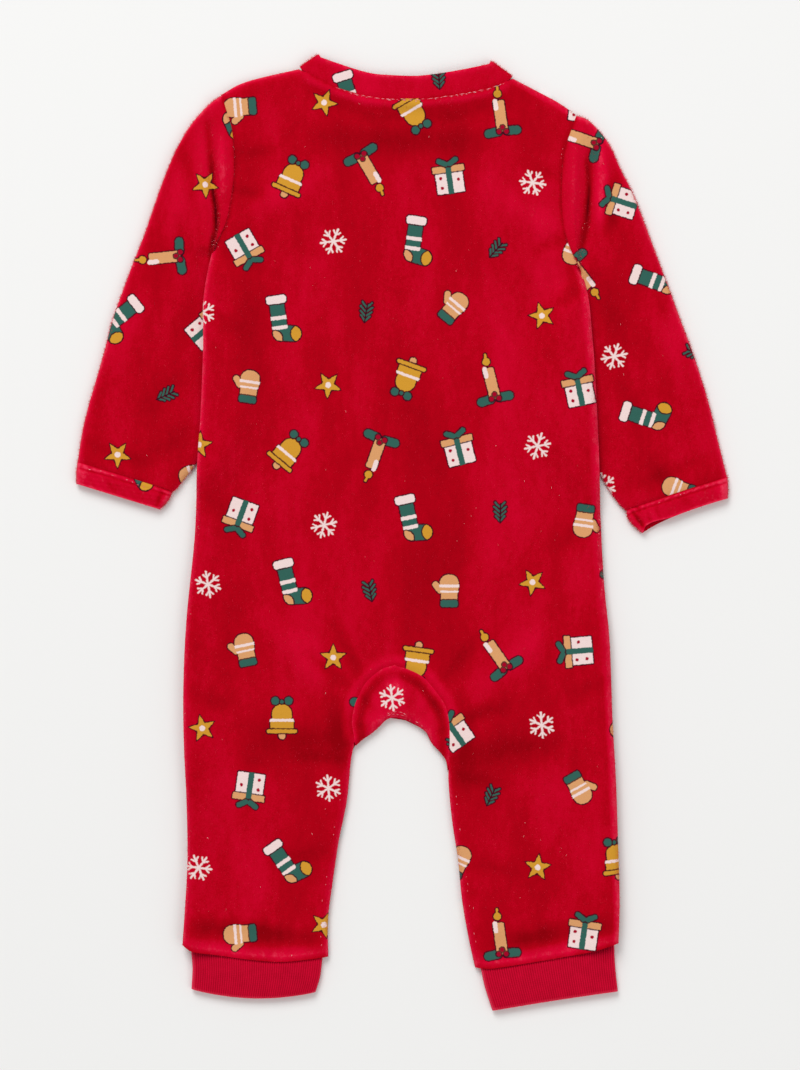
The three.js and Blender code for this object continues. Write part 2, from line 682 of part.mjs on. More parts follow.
function makeBand(sections) {
  const rings = sections.map((section) => {
    const width = sectionWidth(section);
    const pointAt = (share, upper) => {
      const [x, y] = bowedPoint(section, share);
      const opened = smooth((share - mouthFrom) / mouthRise) * smooth((1 - share) / mouthEnd);
      return [x, y + (upper ? section.open * opened : 0)];
    };
    return { width, shares: tubeShares(width), pointAt, topAt: () => section.top };
  });
  return tubeGeometry(rings, bandCloth, bandRoll);
}

// Ankle cuffs: fine rib folded double, raised in ribs on the face that shows
const rib = { count: 58, depth: 0.35, cloth: 1.9, roll: 3.6 };
const cuffColumns = ['outX', 'outY', 'inX', 'inY', 'bow', 'top'];
const leftCuff = table(cuffColumns, [
  [-126.4, -250.9, -47.6, -255.3, 0, 4.7], // seam with the leg
  [-125.6, -261, -49, -266, -2.4, 4.9],
  [-126.2, -273.6, -51.8, -275.4, -4.6, 4.5], // fold at the ankle
]);
const rightCuff = table(cuffColumns, [
  [47.2, -261.6, 127.2, -246.9, 0, 4.7], // seam with the leg
  [49.6, -272.4, 127.8, -260, 0.6, 4.9],
  [54.2, -286.6, 129.4, -275, 0.4, 4.5], // fold at the ankle
]);
const lowerCuffSteps = 10;

function makeCuff(sections, hem) {
  const shares = Array.from({ length: 2 * rib.count + 1 }, (_, m) => m / (2 * rib.count));
  const lowerShares = Array.from({ length: lowerCuffSteps - 1 }, (_, m) => (
    1 - (m + 1) / lowerCuffSteps));
  const rings = sections.map((section, k) => {
    const width = sectionWidth(section);
    const pointAt = (share) => {
      const [x, y] = mix([section.outX, section.outY], [section.inX, section.inY], share);
      if (k === 0) return [x, smoothAt(hem, 'x', 'y', x) - 2 * seamGap];
      return [x, y + section.bow * 4 * share * (1 - share)];
    };
    const topAt = (share, ribbed) => {
      const valley = Math.round(share * 2 * rib.count) % 2 === 0;
      return section.top - (ribbed && valley ? rib.depth : 0);
    };
    return { width, shares, lowerShares, pointAt, topAt };
  });
  return tubeGeometry(rings, rib.cloth, rib.roll);
}

// The neckband: a folded strip that runs from the centre front, over the fold beside the left of
// the neck, along the back neck, and down the other side to the centre front again
const neckband = { width: 13.2, thickness: 2.2, frontLevel: 1.1, backLevel: 4.3, gap: 0.45 };
const neckbandTop = table(['x', 'y'], [
  [-48.6, 284.6], [-40.2, 281.6], [-25.8, 276.9], [-16.2, 274.7], [-4, 273.8], [8, 273.5],
  [18, 274.4], [31.2, 276.4], [42.6, 278.6], [52, 280.6],
]);
const acrossBand = 3; // cells across the strip
const foldSteps = 4; // cells round the fold beside the neck
const leanReach = 0.8; // radians of the front curve over which the strip leans to meet the fold
const foldInset = { x: 2.4, left: 0.2, right: 0.5 }; // the fold, in from the ends of the neck seam

// One rung of the strip: its seam end, its free end, its level and which way its outer face looks
function bandRung(seamEnd, freeEnd, level, outward, angle) {
  const normal = [outward[0] * Math.cos(angle), outward[1] * Math.cos(angle), Math.sin(angle)];
  return { seamEnd, freeEnd, level, normal };
}

function frontBandRungs(neck, backSeamEnd, backFreeEnd) {
  const sign = Math.sign(placketMiddle - neck.x);
  const angles = [];
  for (let j = 1; j <= neckColumns; j += 1) angles.push((placketAngle(neck) * j) / neckColumns);
  const tilt = Math.atan2(backFreeEnd[1] - backSeamEnd[1], sign * (backFreeEnd[0] - backSeamEnd[0]));
  const rungs = angles.map((angle) => {
    const lean = angle + tilt * Math.max(0, 1 - angle / leanReach);
    const [x, y] = frontNeckAt(neck, angle);
    const inward = [sign * Math.cos(lean), Math.sin(lean)];
    const seamEnd = [x + inward[0] * neckband.gap, y + inward[1] * neckband.gap];
    const freeEnd = [seamEnd[0] + inward[0] * neckband.width, seamEnd[1] + inward[1] * neckband.width];
    return bandRung(seamEnd, freeEnd, neckband.frontLevel, [0, 0], -Math.PI / 2);
  });
  const endX = placketMiddle - sign * seamGap * 0.6;
  const end = [endX, frontNeckDepth + neckband.gap];
  rungs.push(bandRung(end, [endX, end[1] + neckband.width], neckband.frontLevel, [0, 0], -Math.PI / 2));
  return rungs;
}

function foldRungs(seamEnd, freeEnd, sign) {
  const along = new THREE.Vector2(freeEnd[0] - seamEnd[0], freeEnd[1] - seamEnd[1]).normalize();
  const outward = [-sign * along.y, sign * along.x];
  const radius = (neckband.backLevel - neckband.frontLevel) / 2;
  const level = (neckband.backLevel + neckband.frontLevel) / 2;
  const rungs = [];
  for (let step = 0; step <= foldSteps; step += 1) {
    const angle = -Math.PI / 2 + (Math.PI * step) / foldSteps;
    const shift = outward.map((value) => value * radius * Math.cos(angle));
    rungs.push(bandRung(
      [seamEnd[0] + shift[0], seamEnd[1] + shift[1]],
      [freeEnd[0] + shift[0], freeEnd[1] + shift[1]],
      level + radius * Math.sin(angle), outward, angle,
    ));
  }
  return rungs;
}

function makeNeckband() {
  const steps = 2 * neckColumns;
  const top = neckbandTop;
  const seamAt = (i) => {
    const x = i <= neckColumns
      ? leftNeck.x + ((placketMiddle - leftNeck.x) * i) / neckColumns
      : placketMiddle + ((rightNeck.x - placketMiddle) * (i - neckColumns)) / neckColumns;
    return [x, smoothAt(backNeck, 'x', 'y', x) + neckband.gap];
  };
  const freeAt = (i) => {
    const x = top[0].x + ((top[top.length - 1].x - top[0].x) * i) / steps;
    return [x, smoothAt(top, 'x', 'y', x)];
  };
  const leftSeam = [leftNeck.x + foldInset.x, leftNeck.y + foldInset.left];
  const rightSeam = [rightNeck.x - foldInset.x, rightNeck.y + foldInset.right];
  const back = [];
  for (let i = 1; i < steps; i += 1) {
    back.push(bandRung(seamAt(i), freeAt(i), neckband.backLevel, [0, 0], Math.PI / 2));
  }
  const rungs = [
    ...frontBandRungs(leftNeck, leftSeam, freeAt(0)).reverse(),
    ...foldRungs(leftSeam, freeAt(0), 1),
    ...back,
    ...foldRungs(rightSeam, freeAt(steps), -1).reverse(),
    ...frontBandRungs(rightNeck, rightSeam, freeAt(steps)),
  ];
  const outer = [];
  const inner = [];
  for (const { seamEnd, freeEnd, level, normal } of rungs) {
    for (let k = 0; k <= acrossBand; k += 1) {
      const [x, y] = mix(seamEnd, freeEnd, k / acrossBand);
      const reach = neckband.thickness / 2;
      outer.push([x + normal[0] * reach, y + normal[1] * reach, level + normal[2] * reach]);
      inner.push([x - normal[0] * reach, y - normal[1] * reach, level - normal[2] * reach]);
    }
  }
  const width = acrossBand + 1;
  const cells = [];
  for (let i = 0; i < rungs.length - 1; i += 1) {
    for (let k = 0; k < acrossBand; k += 1) {
      cells.push([i * width + k, (i + 1) * width + k, (i + 1) * width + k + 1, i * width + k + 1]);
    }
  }
  return clothWall(outer, inner, cells);
}

// Finishes
const velourRed = new THREE.MeshStandardMaterial({ color: 0xb8001c, roughness: 0.95, metalness: 0 });
const ribRed = new THREE.MeshStandardMaterial({ color: 0xb40a24, roughness: 0.9, metalness: 0 });
const popperRed = new THREE.MeshStandardMaterial({ color: 0xa80a20, roughness: 0.45, metalness: 0 });

const onesie = new THREE.Group();

function add(name, geometry, material) {
  const mesh = new THREE.Mesh(geometry, material.clone());
  mesh.name = name;
  onesie.add(mesh);
  return mesh;
}

add('back', makeBack(), velourRed);
add('front_left', makeFront(frontLeft, leftShoulder, leftNeck, false), velourRed);
add('front_right', makeFront(frontRight, rightShoulder, rightNeck, true), velourRed);
add('front_placket', makePlacket(), velourRed);
popperHeights.forEach((y, i) => {
  const cap = add(`popper_${i + 1}`, makePopper(), popperRed);
  cap.rotation.x = Math.PI / 2;
  cap.position.set(placketMiddle, y, 0);
});
add('crotch_gusset', makeGusset(), velourRed);
add('sleeve_left', makeSleeve(leftSleeve, leftSide, leftUnderarm, -1), velourRed);
add('sleeve_right', makeSleeve(rightSleeve, rightSide, rightUnderarm, 1), velourRed);
add('wrist_band_left', makeBand(leftBand), velourRed);
add('wrist_band_right', makeBand(rightBand), velourRed);
add('neckband', makeNeckband(), velourRed);
add('ankle_cuff_left', makeCuff(leftCuff, leftHem), ribRed);
add('ankle_cuff_right', makeCuff(rightCuff, rightHem), ribRed);

export default onesie;
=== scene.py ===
"""A baby's onesie pajama in red cotton velour, laid flat on its front on a pale surface.

The garment is made piece by piece, in the order in which it would be sewn together. Every panel
follows the same outlines and the same heights as the solids that it replaces. Sizes are in
millimetres and are turned into metres where a mesh is made.
"""

import bpy
import numpy as np
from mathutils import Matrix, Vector


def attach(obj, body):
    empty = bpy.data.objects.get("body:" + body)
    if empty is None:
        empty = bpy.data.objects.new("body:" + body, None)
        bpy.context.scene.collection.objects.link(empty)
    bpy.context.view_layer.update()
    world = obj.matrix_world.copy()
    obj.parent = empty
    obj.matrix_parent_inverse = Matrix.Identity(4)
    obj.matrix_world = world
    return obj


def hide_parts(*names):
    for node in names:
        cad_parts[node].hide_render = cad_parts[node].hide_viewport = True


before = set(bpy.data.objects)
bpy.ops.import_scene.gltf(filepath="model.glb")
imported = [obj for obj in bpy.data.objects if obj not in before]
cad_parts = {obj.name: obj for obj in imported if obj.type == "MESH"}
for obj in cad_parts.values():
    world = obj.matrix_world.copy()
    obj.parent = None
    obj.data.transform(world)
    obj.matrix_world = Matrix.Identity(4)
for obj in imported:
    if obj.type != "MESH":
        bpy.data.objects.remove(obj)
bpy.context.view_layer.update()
MM = 0.001

# Camera and light
# The photo looks straight down. It shows 0.6 mm a pixel on a frame of 800 by 1070 pixels.
MM_PER_PIXEL = 0.6
FRAME_TALL = 1070 * MM_PER_PIXEL
VIEW_MIDDLE = (-1.2, -1.5)
CAMERA_HEIGHT = 2400.0
SENSOR = 36.0

camera = bpy.data.objects.new("camera", bpy.data.cameras.new("camera"))
bpy.context.collection.objects.link(camera)
camera.data.sensor_width = SENSOR
camera.data.lens = SENSOR * CAMERA_HEIGHT / FRAME_TALL
camera.location = (VIEW_MIDDLE[0] * MM, VIEW_MIDDLE[1] * MM, CAMERA_HEIGHT * MM)
bpy.context.scene.camera = camera


# Places and sizes of the lamps are in metres. Each is a soft square one that looks at the garment.
LAMPS = [
    ("window", (-1.3, 3.4, 3.4), 158, 2.8),
    ("fill", (2.4, -1.8, 3.2), 26, 2.4),
]
ROOM_COLOUR = (1.0, 0.995, 0.985, 1)
ROOM_LIGHT = 0.55

for name, place, power, size in LAMPS:
    lamp = bpy.data.objects.new(name, bpy.data.lights.new(name, "AREA"))
    bpy.context.collection.objects.link(lamp)
    lamp.data.energy = power
    lamp.data.size = size
    lamp.location = place
    lamp.rotation_euler = (-Vector(place)).to_track_quat("-Z", "Y").to_euler()

world = bpy.data.worlds.new("studio")
bpy.context.scene.world = world
world.use_nodes = True
room = world.node_tree.nodes["Background"]
room.inputs["Color"].default_value = ROOM_COLOUR
room.inputs["Strength"].default_value = ROOM_LIGHT
bpy.context.scene.view_settings.view_transform = "Standard"

# Surface
# A plain matt sheet of white paper that the garment lies on. It is held just below the cloth, so
# that the two never touch.
FLOOR_DROP = 0.3
FLOOR_HALF = 3000.0
PAPER_WHITE = (0.86, 0.86, 0.853)
PAPER_ROUGHNESS = 0.9


def add_object(name, points, faces, materials=()):
    """A new object from points in millimetres."""
    mesh = bpy.data.meshes.new(name)
    mesh.from_pydata((np.array(points, float) * MM).tolist(), [], faces)
    for material in materials:
        mesh.materials.append(material)
    item = bpy.data.objects.new(name, mesh)
    bpy.context.collection.objects.link(item)
    return item


def new_material(name, roughness, colour=None, sheen=None, gloss=None):
    """A new material, with its tree, its shader and the place on the object in metres.

    sheen is its strength and its colour. gloss is how much of the light a smooth spot sends back.
    """
    material = bpy.data.materials.new(name)
    material.use_nodes = True
    tree = material.node_tree
    shader = tree.nodes["Principled BSDF"]
    shader.inputs["Roughness"].default_value = roughness
    if colour:
        shader.inputs["Base Color"].default_value = (*colour, 1)
    if sheen:
        shader.inputs["Sheen Weight"].default_value = sheen[0]
        shader.inputs["Sheen Tint"].default_value = (*sheen[1], 1)
    if gloss:
        shader.inputs["Specular IOR Level"].default_value = gloss
    return material, tree, shader, tree.nodes.new("ShaderNodeTexCoord").outputs["Object"]


matt_paper = new_material("matt_paper", PAPER_ROUGHNESS, PAPER_WHITE)[0]
floor_corners = [(-1, -1), (1, -1), (1, 1), (-1, 1)]
floor_points = [(x * FLOOR_HALF, y * FLOOR_HALF, -FLOOR_DROP) for x, y in floor_corners]
floor = add_object("surface", floor_points, [(0, 1, 2, 3)], [matt_paper])

# Back
# One piece of cotton velour with both back legs. It is sewn to the fronts down the sides and
# inside the legs, to the sleeves at the armholes, and to the neckband, the gusset and the cuffs.
VELOUR = 1.6  # one layer, its pile included
THIN_EDGE = 1.0  # the same layer where it is pulled round an edge
SEAM_GAP = 0.35
LOFT = 1.8  # air between the front and the back
EDGE_ROLL = 7.0  # width over which the back rolls down to an edge
UNDER_BODY = 4.2  # how far a tucked sleeve lifts the front
TUCK_RAMP = 14.0  # width over which the front comes down beside the sleeve
BACK_RAMP = 34.0  # the same for the back, which spans it
RISING_LENGTH = 17.0  # below the underarm, over which the sleeve slides in under the body
SLOPE_GAP = 0.12  # how much further apart the layers are where they slope
LEAST_AIR = 0.3  # between the layers in the deepest fold


def table(columns, *rows):
    """Rows of numbers as one array for each named column."""
    return dict(zip(columns.split(), np.array(rows, float).T))


LEFT_SIDE = table(
    "y x",
    (262.5, -108), (255, -105.8), (241, -101.8), (217, -100.6), (200, -102.6), (185, -105.6),
    (171.5, -112.5), (161, -115.3), (139, -118.8), (110, -119), (70, -120.6), (41, -122.6),
    (0, -124), (-52, -129), (-90, -130.8), (-125, -130.6), (-160, -129), (-196, -128.4),
    (-220, -129.6), (-246.9, -131.4),
)
RIGHT_SIDE = table(
    "y x",
    (250, 104.6), (242, 101.7), (227, 97), (201, 95.6), (183, 97), (170, 101), (157, 107.4),
    (141, 111.4), (120, 113.6), (100, 115.2), (48, 117.8), (10, 118.9), (-30, 121),
    (-64, 124.2), (-112, 126), (-148, 128), (-184, 129.2), (-220, 130.2), (-245.7, 129.6),
)
LEFT_UNDERARM = 171.5
RIGHT_UNDERARM = 157.0
LEFT_MIDDLE = table(
    "y x",
    (259.8, 2), (-79.5, -4.2), (-81.3, -10.8), (-88.5, -20.4), (-99.9, -27), (-113, -30),
    (-124.5, -28.6), (-136.5, -30.6), (-160.5, -33), (-184.5, -37.8), (-208.5, -41.4),
    (-232.5, -44.4), (-254.1, -44.2),
)
RIGHT_MIDDLE = table(
    "y x",
    (259.8, 2), (-79.5, -4.2), (-81.9, 3.6), (-86.1, 12), (-93.3, 18.6), (-103.5, 25.8),
    (-116, 28.4), (-136.5, 28.2), (-148.5, 27.8), (-172.5, 30), (-196.5, 33.6), (-220.5, 36),
    (-244.5, 40.2), (-260.7, 43.8),
)
LEFT_SHOULDER = table("x y", (-108, 262.5), (-97.8, 268.3), (-86.4, 272), (-62, 277.6))
RIGHT_SHOULDER = table("x y", (66.6, 271.9), (79.8, 265), (93.6, 257.6), (104.6, 250))
BACK_NECK = table(
    "x y",
    (-62, 277.6), (-47.4, 270.9), (-39, 266.6), (-27, 263), (-15.6, 261), (2, 259.8), (14, 260.2),
    (27, 262), (39, 263.7), (55, 267.4), (66.6, 271.9),
)
LEFT_HEM = table(
    "x y",
    (-131.4, -246.9), (-126, -250.6), (-111.6, -252.9), (-93.6, -255.6), (-73.2, -257.2),
    (-56.4, -255.8), (-44.2, -254.1),
)
RIGHT_HEM = table(
    "x y",
    (43.8, -260.7), (52.8, -261.3), (69.6, -258.9), (101.4, -253.5), (115.8, -250.4),
    (129.6, -245.7),
)
GUSSET_LOWER = np.array([
    (-27.6, -127.8), (-24, -124.4), (-18, -120.3), (-13.2, -116), (-9, -112), (-3, -110.7),
    (2.7, -112.5), (8.4, -115.5), (14.4, -119.7), (17.8, -126.3), (22.8, -131.7),
    (26.2, -136.5), (27.4, -143.5),
])


def smooth_at(rows, along, column, place):
    """One column at places along another, on a smooth curve through the rows."""
    a, b = rows[along], rows[column]
    if a[-1] < a[0]:
        a, b = a[::-1], b[::-1]
    place = np.asarray(place, float)
    slope = np.empty_like(b)
    slope[1:-1] = (b[2:] - b[:-2]) / (a[2:] - a[:-2])
    slope[0] = (b[1] - b[0]) / (a[1] - a[0])
    slope[-1] = (b[-1] - b[-2]) / (a[-1] - a[-2])
    i = np.clip(np.searchsorted(a, place) - 1, 0, len(a) - 2)
    span = a[i + 1] - a[i]
    t = np.clip((place - a[i]) / span, 0, 1)
    ease = t * t * (3 - 2 * t)
    bend = t * (1 - t) ** 2 * span * slope[i] + t * t * (t - 1) * span * slope[i + 1]
    return b[i] + (b[i + 1] - b[i]) * ease + bend


def middle_at(rows, y):
    """An inner edge: straight down to its second row, and then as its table says."""
    (y0, y1), (x0, x1) = rows["y"][:2], rows["x"][:2]
    straight = x0 + (x1 - x0) * (y0 - y) / (y0 - y1)
    return np.where(y < y1, smooth_at(rows, "y", "x", y), straight)


def smooth(value):
    """Eases from 0 to 1 and is level at both ends."""
    t = np.clip(value, 0, 1)
    return t * t * (3 - 2 * t)


def roll(share):
    """Quarter circle: 0 at an edge, 1 where the roll ends."""
    return np.sqrt(1 - (1 - np.clip(share, 0, 1)) ** 2)


def hump(away, width):
    """Bell curve: 1 on a line, fading over a width on both sides of it."""
    return np.exp(-((away / width) ** 2))


def trace(rows, along, column, start, end, count):
    """Points of a curve that a table gives."""
    place = np.linspace(start, end, count + 1)
    value = smooth_at(rows, along, column, place)
    return np.stack([place, value] if along == "x" else [value, place], axis=-1)


def from_line(x, y, x1, y1, x2, y2):
    """Share of the way along a straight line where it is nearest to a point, and how near it is."""
    dx, dy = x2 - x1, y2 - y1
    t = np.clip(((x - x1) * dx + (y - y1) * dy) / (dx * dx + dy * dy), 0, 1)
    return t, np.hypot(x - x1 - t * dx, y - y1 - t * dy)


def distance_to(lines, x, y):
    """Distance from each point to the nearest of some lines, each a list of points."""
    least = np.full(np.shape(x), np.inf)
    for line in lines:
        for start, end in zip(line[:-1], line[1:]):
            least = np.minimum(least, from_line(x, y, *start, *end)[1])
    return least


FREE_EDGES = [
    trace(LEFT_SHOULDER, "x", "y", -108, -62, 8),
    trace(RIGHT_SHOULDER, "x", "y", 66.6, 104.6, 8),
    trace(LEFT_SIDE, "y", "x", LEFT_UNDERARM, -246.9, 48),
    trace(RIGHT_SIDE, "y", "x", RIGHT_UNDERARM, -245.7, 48),
    trace(LEFT_MIDDLE, "y", "x", -128, -254.1, 16),
    GUSSET_LOWER,
    trace(RIGHT_MIDDLE, "y", "x", -144, -260.7, 16),
]
NECK_SEAM = trace(BACK_NECK, "x", "y", -60, 64.6, 40)
GUSSET_SEAM = np.concatenate([
    trace(LEFT_MIDDLE, "y", "x", -124.5, -79.5, 24),
    trace(RIGHT_MIDDLE, "y", "x", -79.6, -136.5, 30),
])
LEFT_ARMHOLE = trace(LEFT_SIDE, "y", "x", 262.5, LEFT_UNDERARM, 24)
RIGHT_ARMHOLE = trace(RIGHT_SIDE, "y", "x", 250, RIGHT_UNDERARM, 24)
HEM_SEAMS = [
    trace(LEFT_HEM, "x", "y", -131.4, -44.2, 20),
    trace(RIGHT_HEM, "x", "y", 43.8, 129.6, 20),
]
LEFT_TUCK = table(
    "y x",
    (171.5, -128), (160, -119), (150, -109), (142, -106), (128, -103), (112, -100),
    (95, -98.5), (77, -101), (58, -108), (41, -118), (23, -134),
)
RIGHT_TUCK = table(
    "y x",
    (157, 126), (145, 117), (133, 108), (119, 102), (105, 98), (90, 96), (74, 97),
    (59, 100.5), (45.5, 106.5), (34.5, 114), (12, 131),
)


def lift(x, y, ramp):
    """How far the cloth is held off the surface by a sleeve beneath it."""
    left = (smooth_at(LEFT_TUCK, "y", "x", y) + ramp - x) / ramp
    right = (x - smooth_at(RIGHT_TUCK, "y", "x", y) + ramp) / ramp
    underarm = np.where(x < 0, LEFT_UNDERARM, RIGHT_UNDERARM)
    below = smooth((underarm - y) / RISING_LENGTH)
    return UNDER_BODY * np.maximum(smooth(left), smooth(right)) * below


# FOLDS are the folds of the solids, CREASES the finer ones that only show close to.
FOLD_COLUMNS = "x1 y1 x2 y2 width depth"
FOLDS = table(
    FOLD_COLUMNS,
    (-52, 262, -20, 250, 5, -0.9), (-20, 250, 30, 250, 5, -1.0), (30, 250, 62, 258, 5, -0.8),
    (-96, 190, -52, 214, 9, 0.8), (92, 182, 54, 204, 9, 0.7), (-60, 150, -74, 20, 13, 0.6),
    (62, 130, 72, -10, 13, 0.5), (-4, 190, 2, 60, 14, -0.5), (-34, -100, -82, -52, 9, 0.8),
    (34, -106, 80, -62, 9, 0.7), (-30, -128, -96, -118, 8, -0.7), (30, -134, 92, -126, 8, -0.7),
    (-84, -150, -88, -226, 10, 0.6), (82, -150, 88, -226, 10, 0.6),
    (-122, -238, -54, -244, 6, -1.0), (56, -248, 122, -236, 6, -1.0),
)
CREASES = table(
    FOLD_COLUMNS,
    (-99, 226, -78, 229, 3.5, -0.35), (-101, 206, -84, 202, 3, -0.35),
    (-108, 168, -86, 158, 4, -0.45), (-112, 130, -96, 120, 5, -0.35),
    (95, 214, 78, 217, 3.5, -0.35), (98, 178, 80, 168, 4, -0.45),
    (106, 146, 88, 134, 4, -0.4), (-116, 20, -98, 8, 6, -0.35),
    (112, 6, 92, -8, 6, -0.35), (-32, -92, -58, -72, 4, -0.5),
    (-26, -84, -40, -56, 4, -0.4), (26, -86, 44, -64, 4, -0.45),
    (34, -112, 62, -104, 4, -0.5), (-34, -136, -62, -134, 4, -0.4),
    (32, -146, 58, -150, 4, -0.4), (-128, -96, -104, -104, 5, -0.35),
    (124, -88, 102, -98, 5, -0.35), (-44, -190, -70, -196, 5, -0.35),
    (40, -196, 66, -204, 5, -0.35), (-112, -240, -108, -230, 3, 0.3),
    (-96, -243, -92, -231, 3, 0.3), (-78, -245, -76, -232, 3, 0.3), (-62, -244, -62, -232, 3, 0.3),
    (62, -250, 60, -238, 3, 0.3), (80, -248, 78, -236, 3, 0.3), (98, -245, 98, -232, 3, 0.3),
    (114, -241, 114, -230, 3, 0.3),
)


def fold_height(rows, x, y):
    """Height that soft folds add: each is a line with a width and a depth, down if negative."""
    height = np.zeros(np.shape(x))
    for x1, y1, x2, y2, width, depth in zip(*rows.values()):
        t, away = from_line(x, y, x1, y1, x2, y2)
        height += depth * hump(away, width) * (0.55 + 0.45 * np.sin(np.pi * t))
    return height


# The seam allowance under the neck seam and round the gusset makes a raised cord beside the seam.
ALLOWANCE_REACH = 3.4
ALLOWANCE_WIDTH = 2.6
ALLOWANCE_HEIGHT = 0.8
# Every seam pulls the cloth down into a narrow groove.
GROOVE_WIDTH = 1.1
ARMHOLE_DEPTH = 0.46
HEM_DEPTH = 0.36
NECK_DEPTH = 0.2
PADDED_WIDTH = 0.8  # the padded seam of the gusset barely sinks
PADDED_DEPTH = 0.06


def allowance_height(x, y):
    away = distance_to([NECK_SEAM[2:-2], GUSSET_SEAM[2:-4]], x, y)
    return ALLOWANCE_HEIGHT * hump(away - ALLOWANCE_REACH, ALLOWANCE_WIDTH)


def narrow_groove(x, y):
    armholes = [LEFT_ARMHOLE, RIGHT_ARMHOLE]
    deep = 0
    for seams, depth in ((armholes, ARMHOLE_DEPTH), (HEM_SEAMS, HEM_DEPTH), ([NECK_SEAM], NECK_DEPTH)):
        deep = np.maximum(deep, depth * hump(distance_to(seams, x, y), GROOVE_WIDTH))
    return deep


def groove(x, y):
    return narrow_groove(x, y) + PADDED_DEPTH * hump(distance_to([GUSSET_SEAM], x, y), PADDED_WIDTH)


def front_bottom(x, y):
    return lift(x, y, TUCK_RAMP)


def front_top(x, y):
    return lift(x, y, TUCK_RAMP) + VELOUR


def back_bottom(x, y):
    share = roll(distance_to(FREE_EDGES, x, y) / EDGE_ROLL)
    held = lift(x, y, TUCK_RAMP)
    spanned = lift(x, y, BACK_RAMP) - held
    folds = fold_height(FOLDS, x, y) + fold_height(CREASES, x, y) + allowance_height(x, y)
    air = np.maximum(LEAST_AIR, LOFT + folds) + spanned
    return front_top(x, y) + SEAM_GAP + SLOPE_GAP * held * (UNDER_BODY - held) + air * share


def back_top(x, y):
    share = roll(distance_to(FREE_EDGES, x, y) / EDGE_ROLL)
    return back_bottom(x, y) + THIN_EDGE + (VELOUR - THIN_EDGE) * share - groove(x, y)


# Soft patches of lighter and darker pile: some where the pile is brushed another way, and some
# painted shade and painted highlight, under the neckband, round the gusset and along the leg hems.
BRUSHED_NAP_AND_PAINTED_LIGHT = table(
    FOLD_COLUMNS,
    (-44, 236, 44, 234, 9, -0.75), (-1, 205, 6, 120, 16, 0.35), (-91, 140, -73, 43, 16, -0.35),
    (80, 212, 92, 140, 10, 0.3), (23, 67, 11, -64, 17, -0.35), (-61, 7, -49, -64, 14, 0.3),
    (52, 20, 66, -70, 15, 0.25), (-41, -92, -36, -138, 6, -0.9), (36, -100, 38, -150, 6, -0.8),
    (-92, -134, -46, -124, 11, -0.45), (92, -128, 52, -134, 11, -0.4),
    (-79, -168, -72, -226, 13, -0.35), (80, -168, 86, -226, 13, -0.35),
    (-112, -150, -116, -226, 8, 0.35), (114, -150, 118, -226, 8, 0.35),
    (-122, -236, -56, -242, 4, -0.35), (58, -246, 120, -235, 4, -0.3),
    (-128, -246.5, -100, -251.5, 4, 1.05), (-100, -251.5, -74, -253.5, 4, 1.05),
    (-74, -253.5, -47, -251, 4, 1.05), (47, -257.5, 72, -255, 4, 1.05),
    (72, -255, 100, -250, 4, 1.05), (100, -250, 127, -243, 4, 1.05),
    (-118, -233, -104, -236, 5, -0.4), (-90, -238, -74, -240, 5, -0.5), (66, -243, 84, -240, 5, -0.4),
    (98, -236, 112, -234, 5, -0.4),
)
EDGE_HIGHLIGHT_WIDTH = 2.4  # width of the painted highlight along an edge
RIM_HIGHLIGHT_WIDTH = 1.1  # width of the painted pinkish highlight at the very edge
EDGE_HIGHLIGHT = 0.7
SIDE_HIGHLIGHT_AWAY = 2.6  # distance from the right side's edge to the fine painted highlight beside it
SIDE_HIGHLIGHT_WIDTH = 0.8
# Painted shade in the troughs of folds and creases and in seam grooves, and painted highlight on their
# ridges and over the raised seam allowance.
FOLD_SHADING = 0.6
CREASE_SHADING = 1.2
ALLOWANCE_HIGHLIGHT = 0.75
GROOVE_SHADE = 1.1


def edge_highlight(away):
    """Painted highlight at a distance from an edge."""
    return EDGE_HIGHLIGHT * (hump(away, EDGE_HIGHLIGHT_WIDTH) + hump(away, RIM_HIGHLIGHT_WIDTH))


# Tone of the back: painted shade and highlight on folds, seams and edges, and brushed patches of pile.
def back_nap_and_painted_light(x, y):
    folds = FOLD_SHADING * fold_height(FOLDS, x, y) + CREASE_SHADING * fold_height(CREASES, x, y)
    away = distance_to(FREE_EDGES, x, y)
    side_highlight = EDGE_HIGHLIGHT * hump(away - SIDE_HIGHLIGHT_AWAY, SIDE_HIGHLIGHT_WIDTH) * smooth((x - 60) / 20)
    painted_highlights = ALLOWANCE_HIGHLIGHT * allowance_height(x, y) + edge_highlight(away) + side_highlight
    return folds + painted_highlights + fold_height(BRUSHED_NAP_AND_PAINTED_LIGHT, x, y) - GROOVE_SHADE * narrow_groove(x, y)


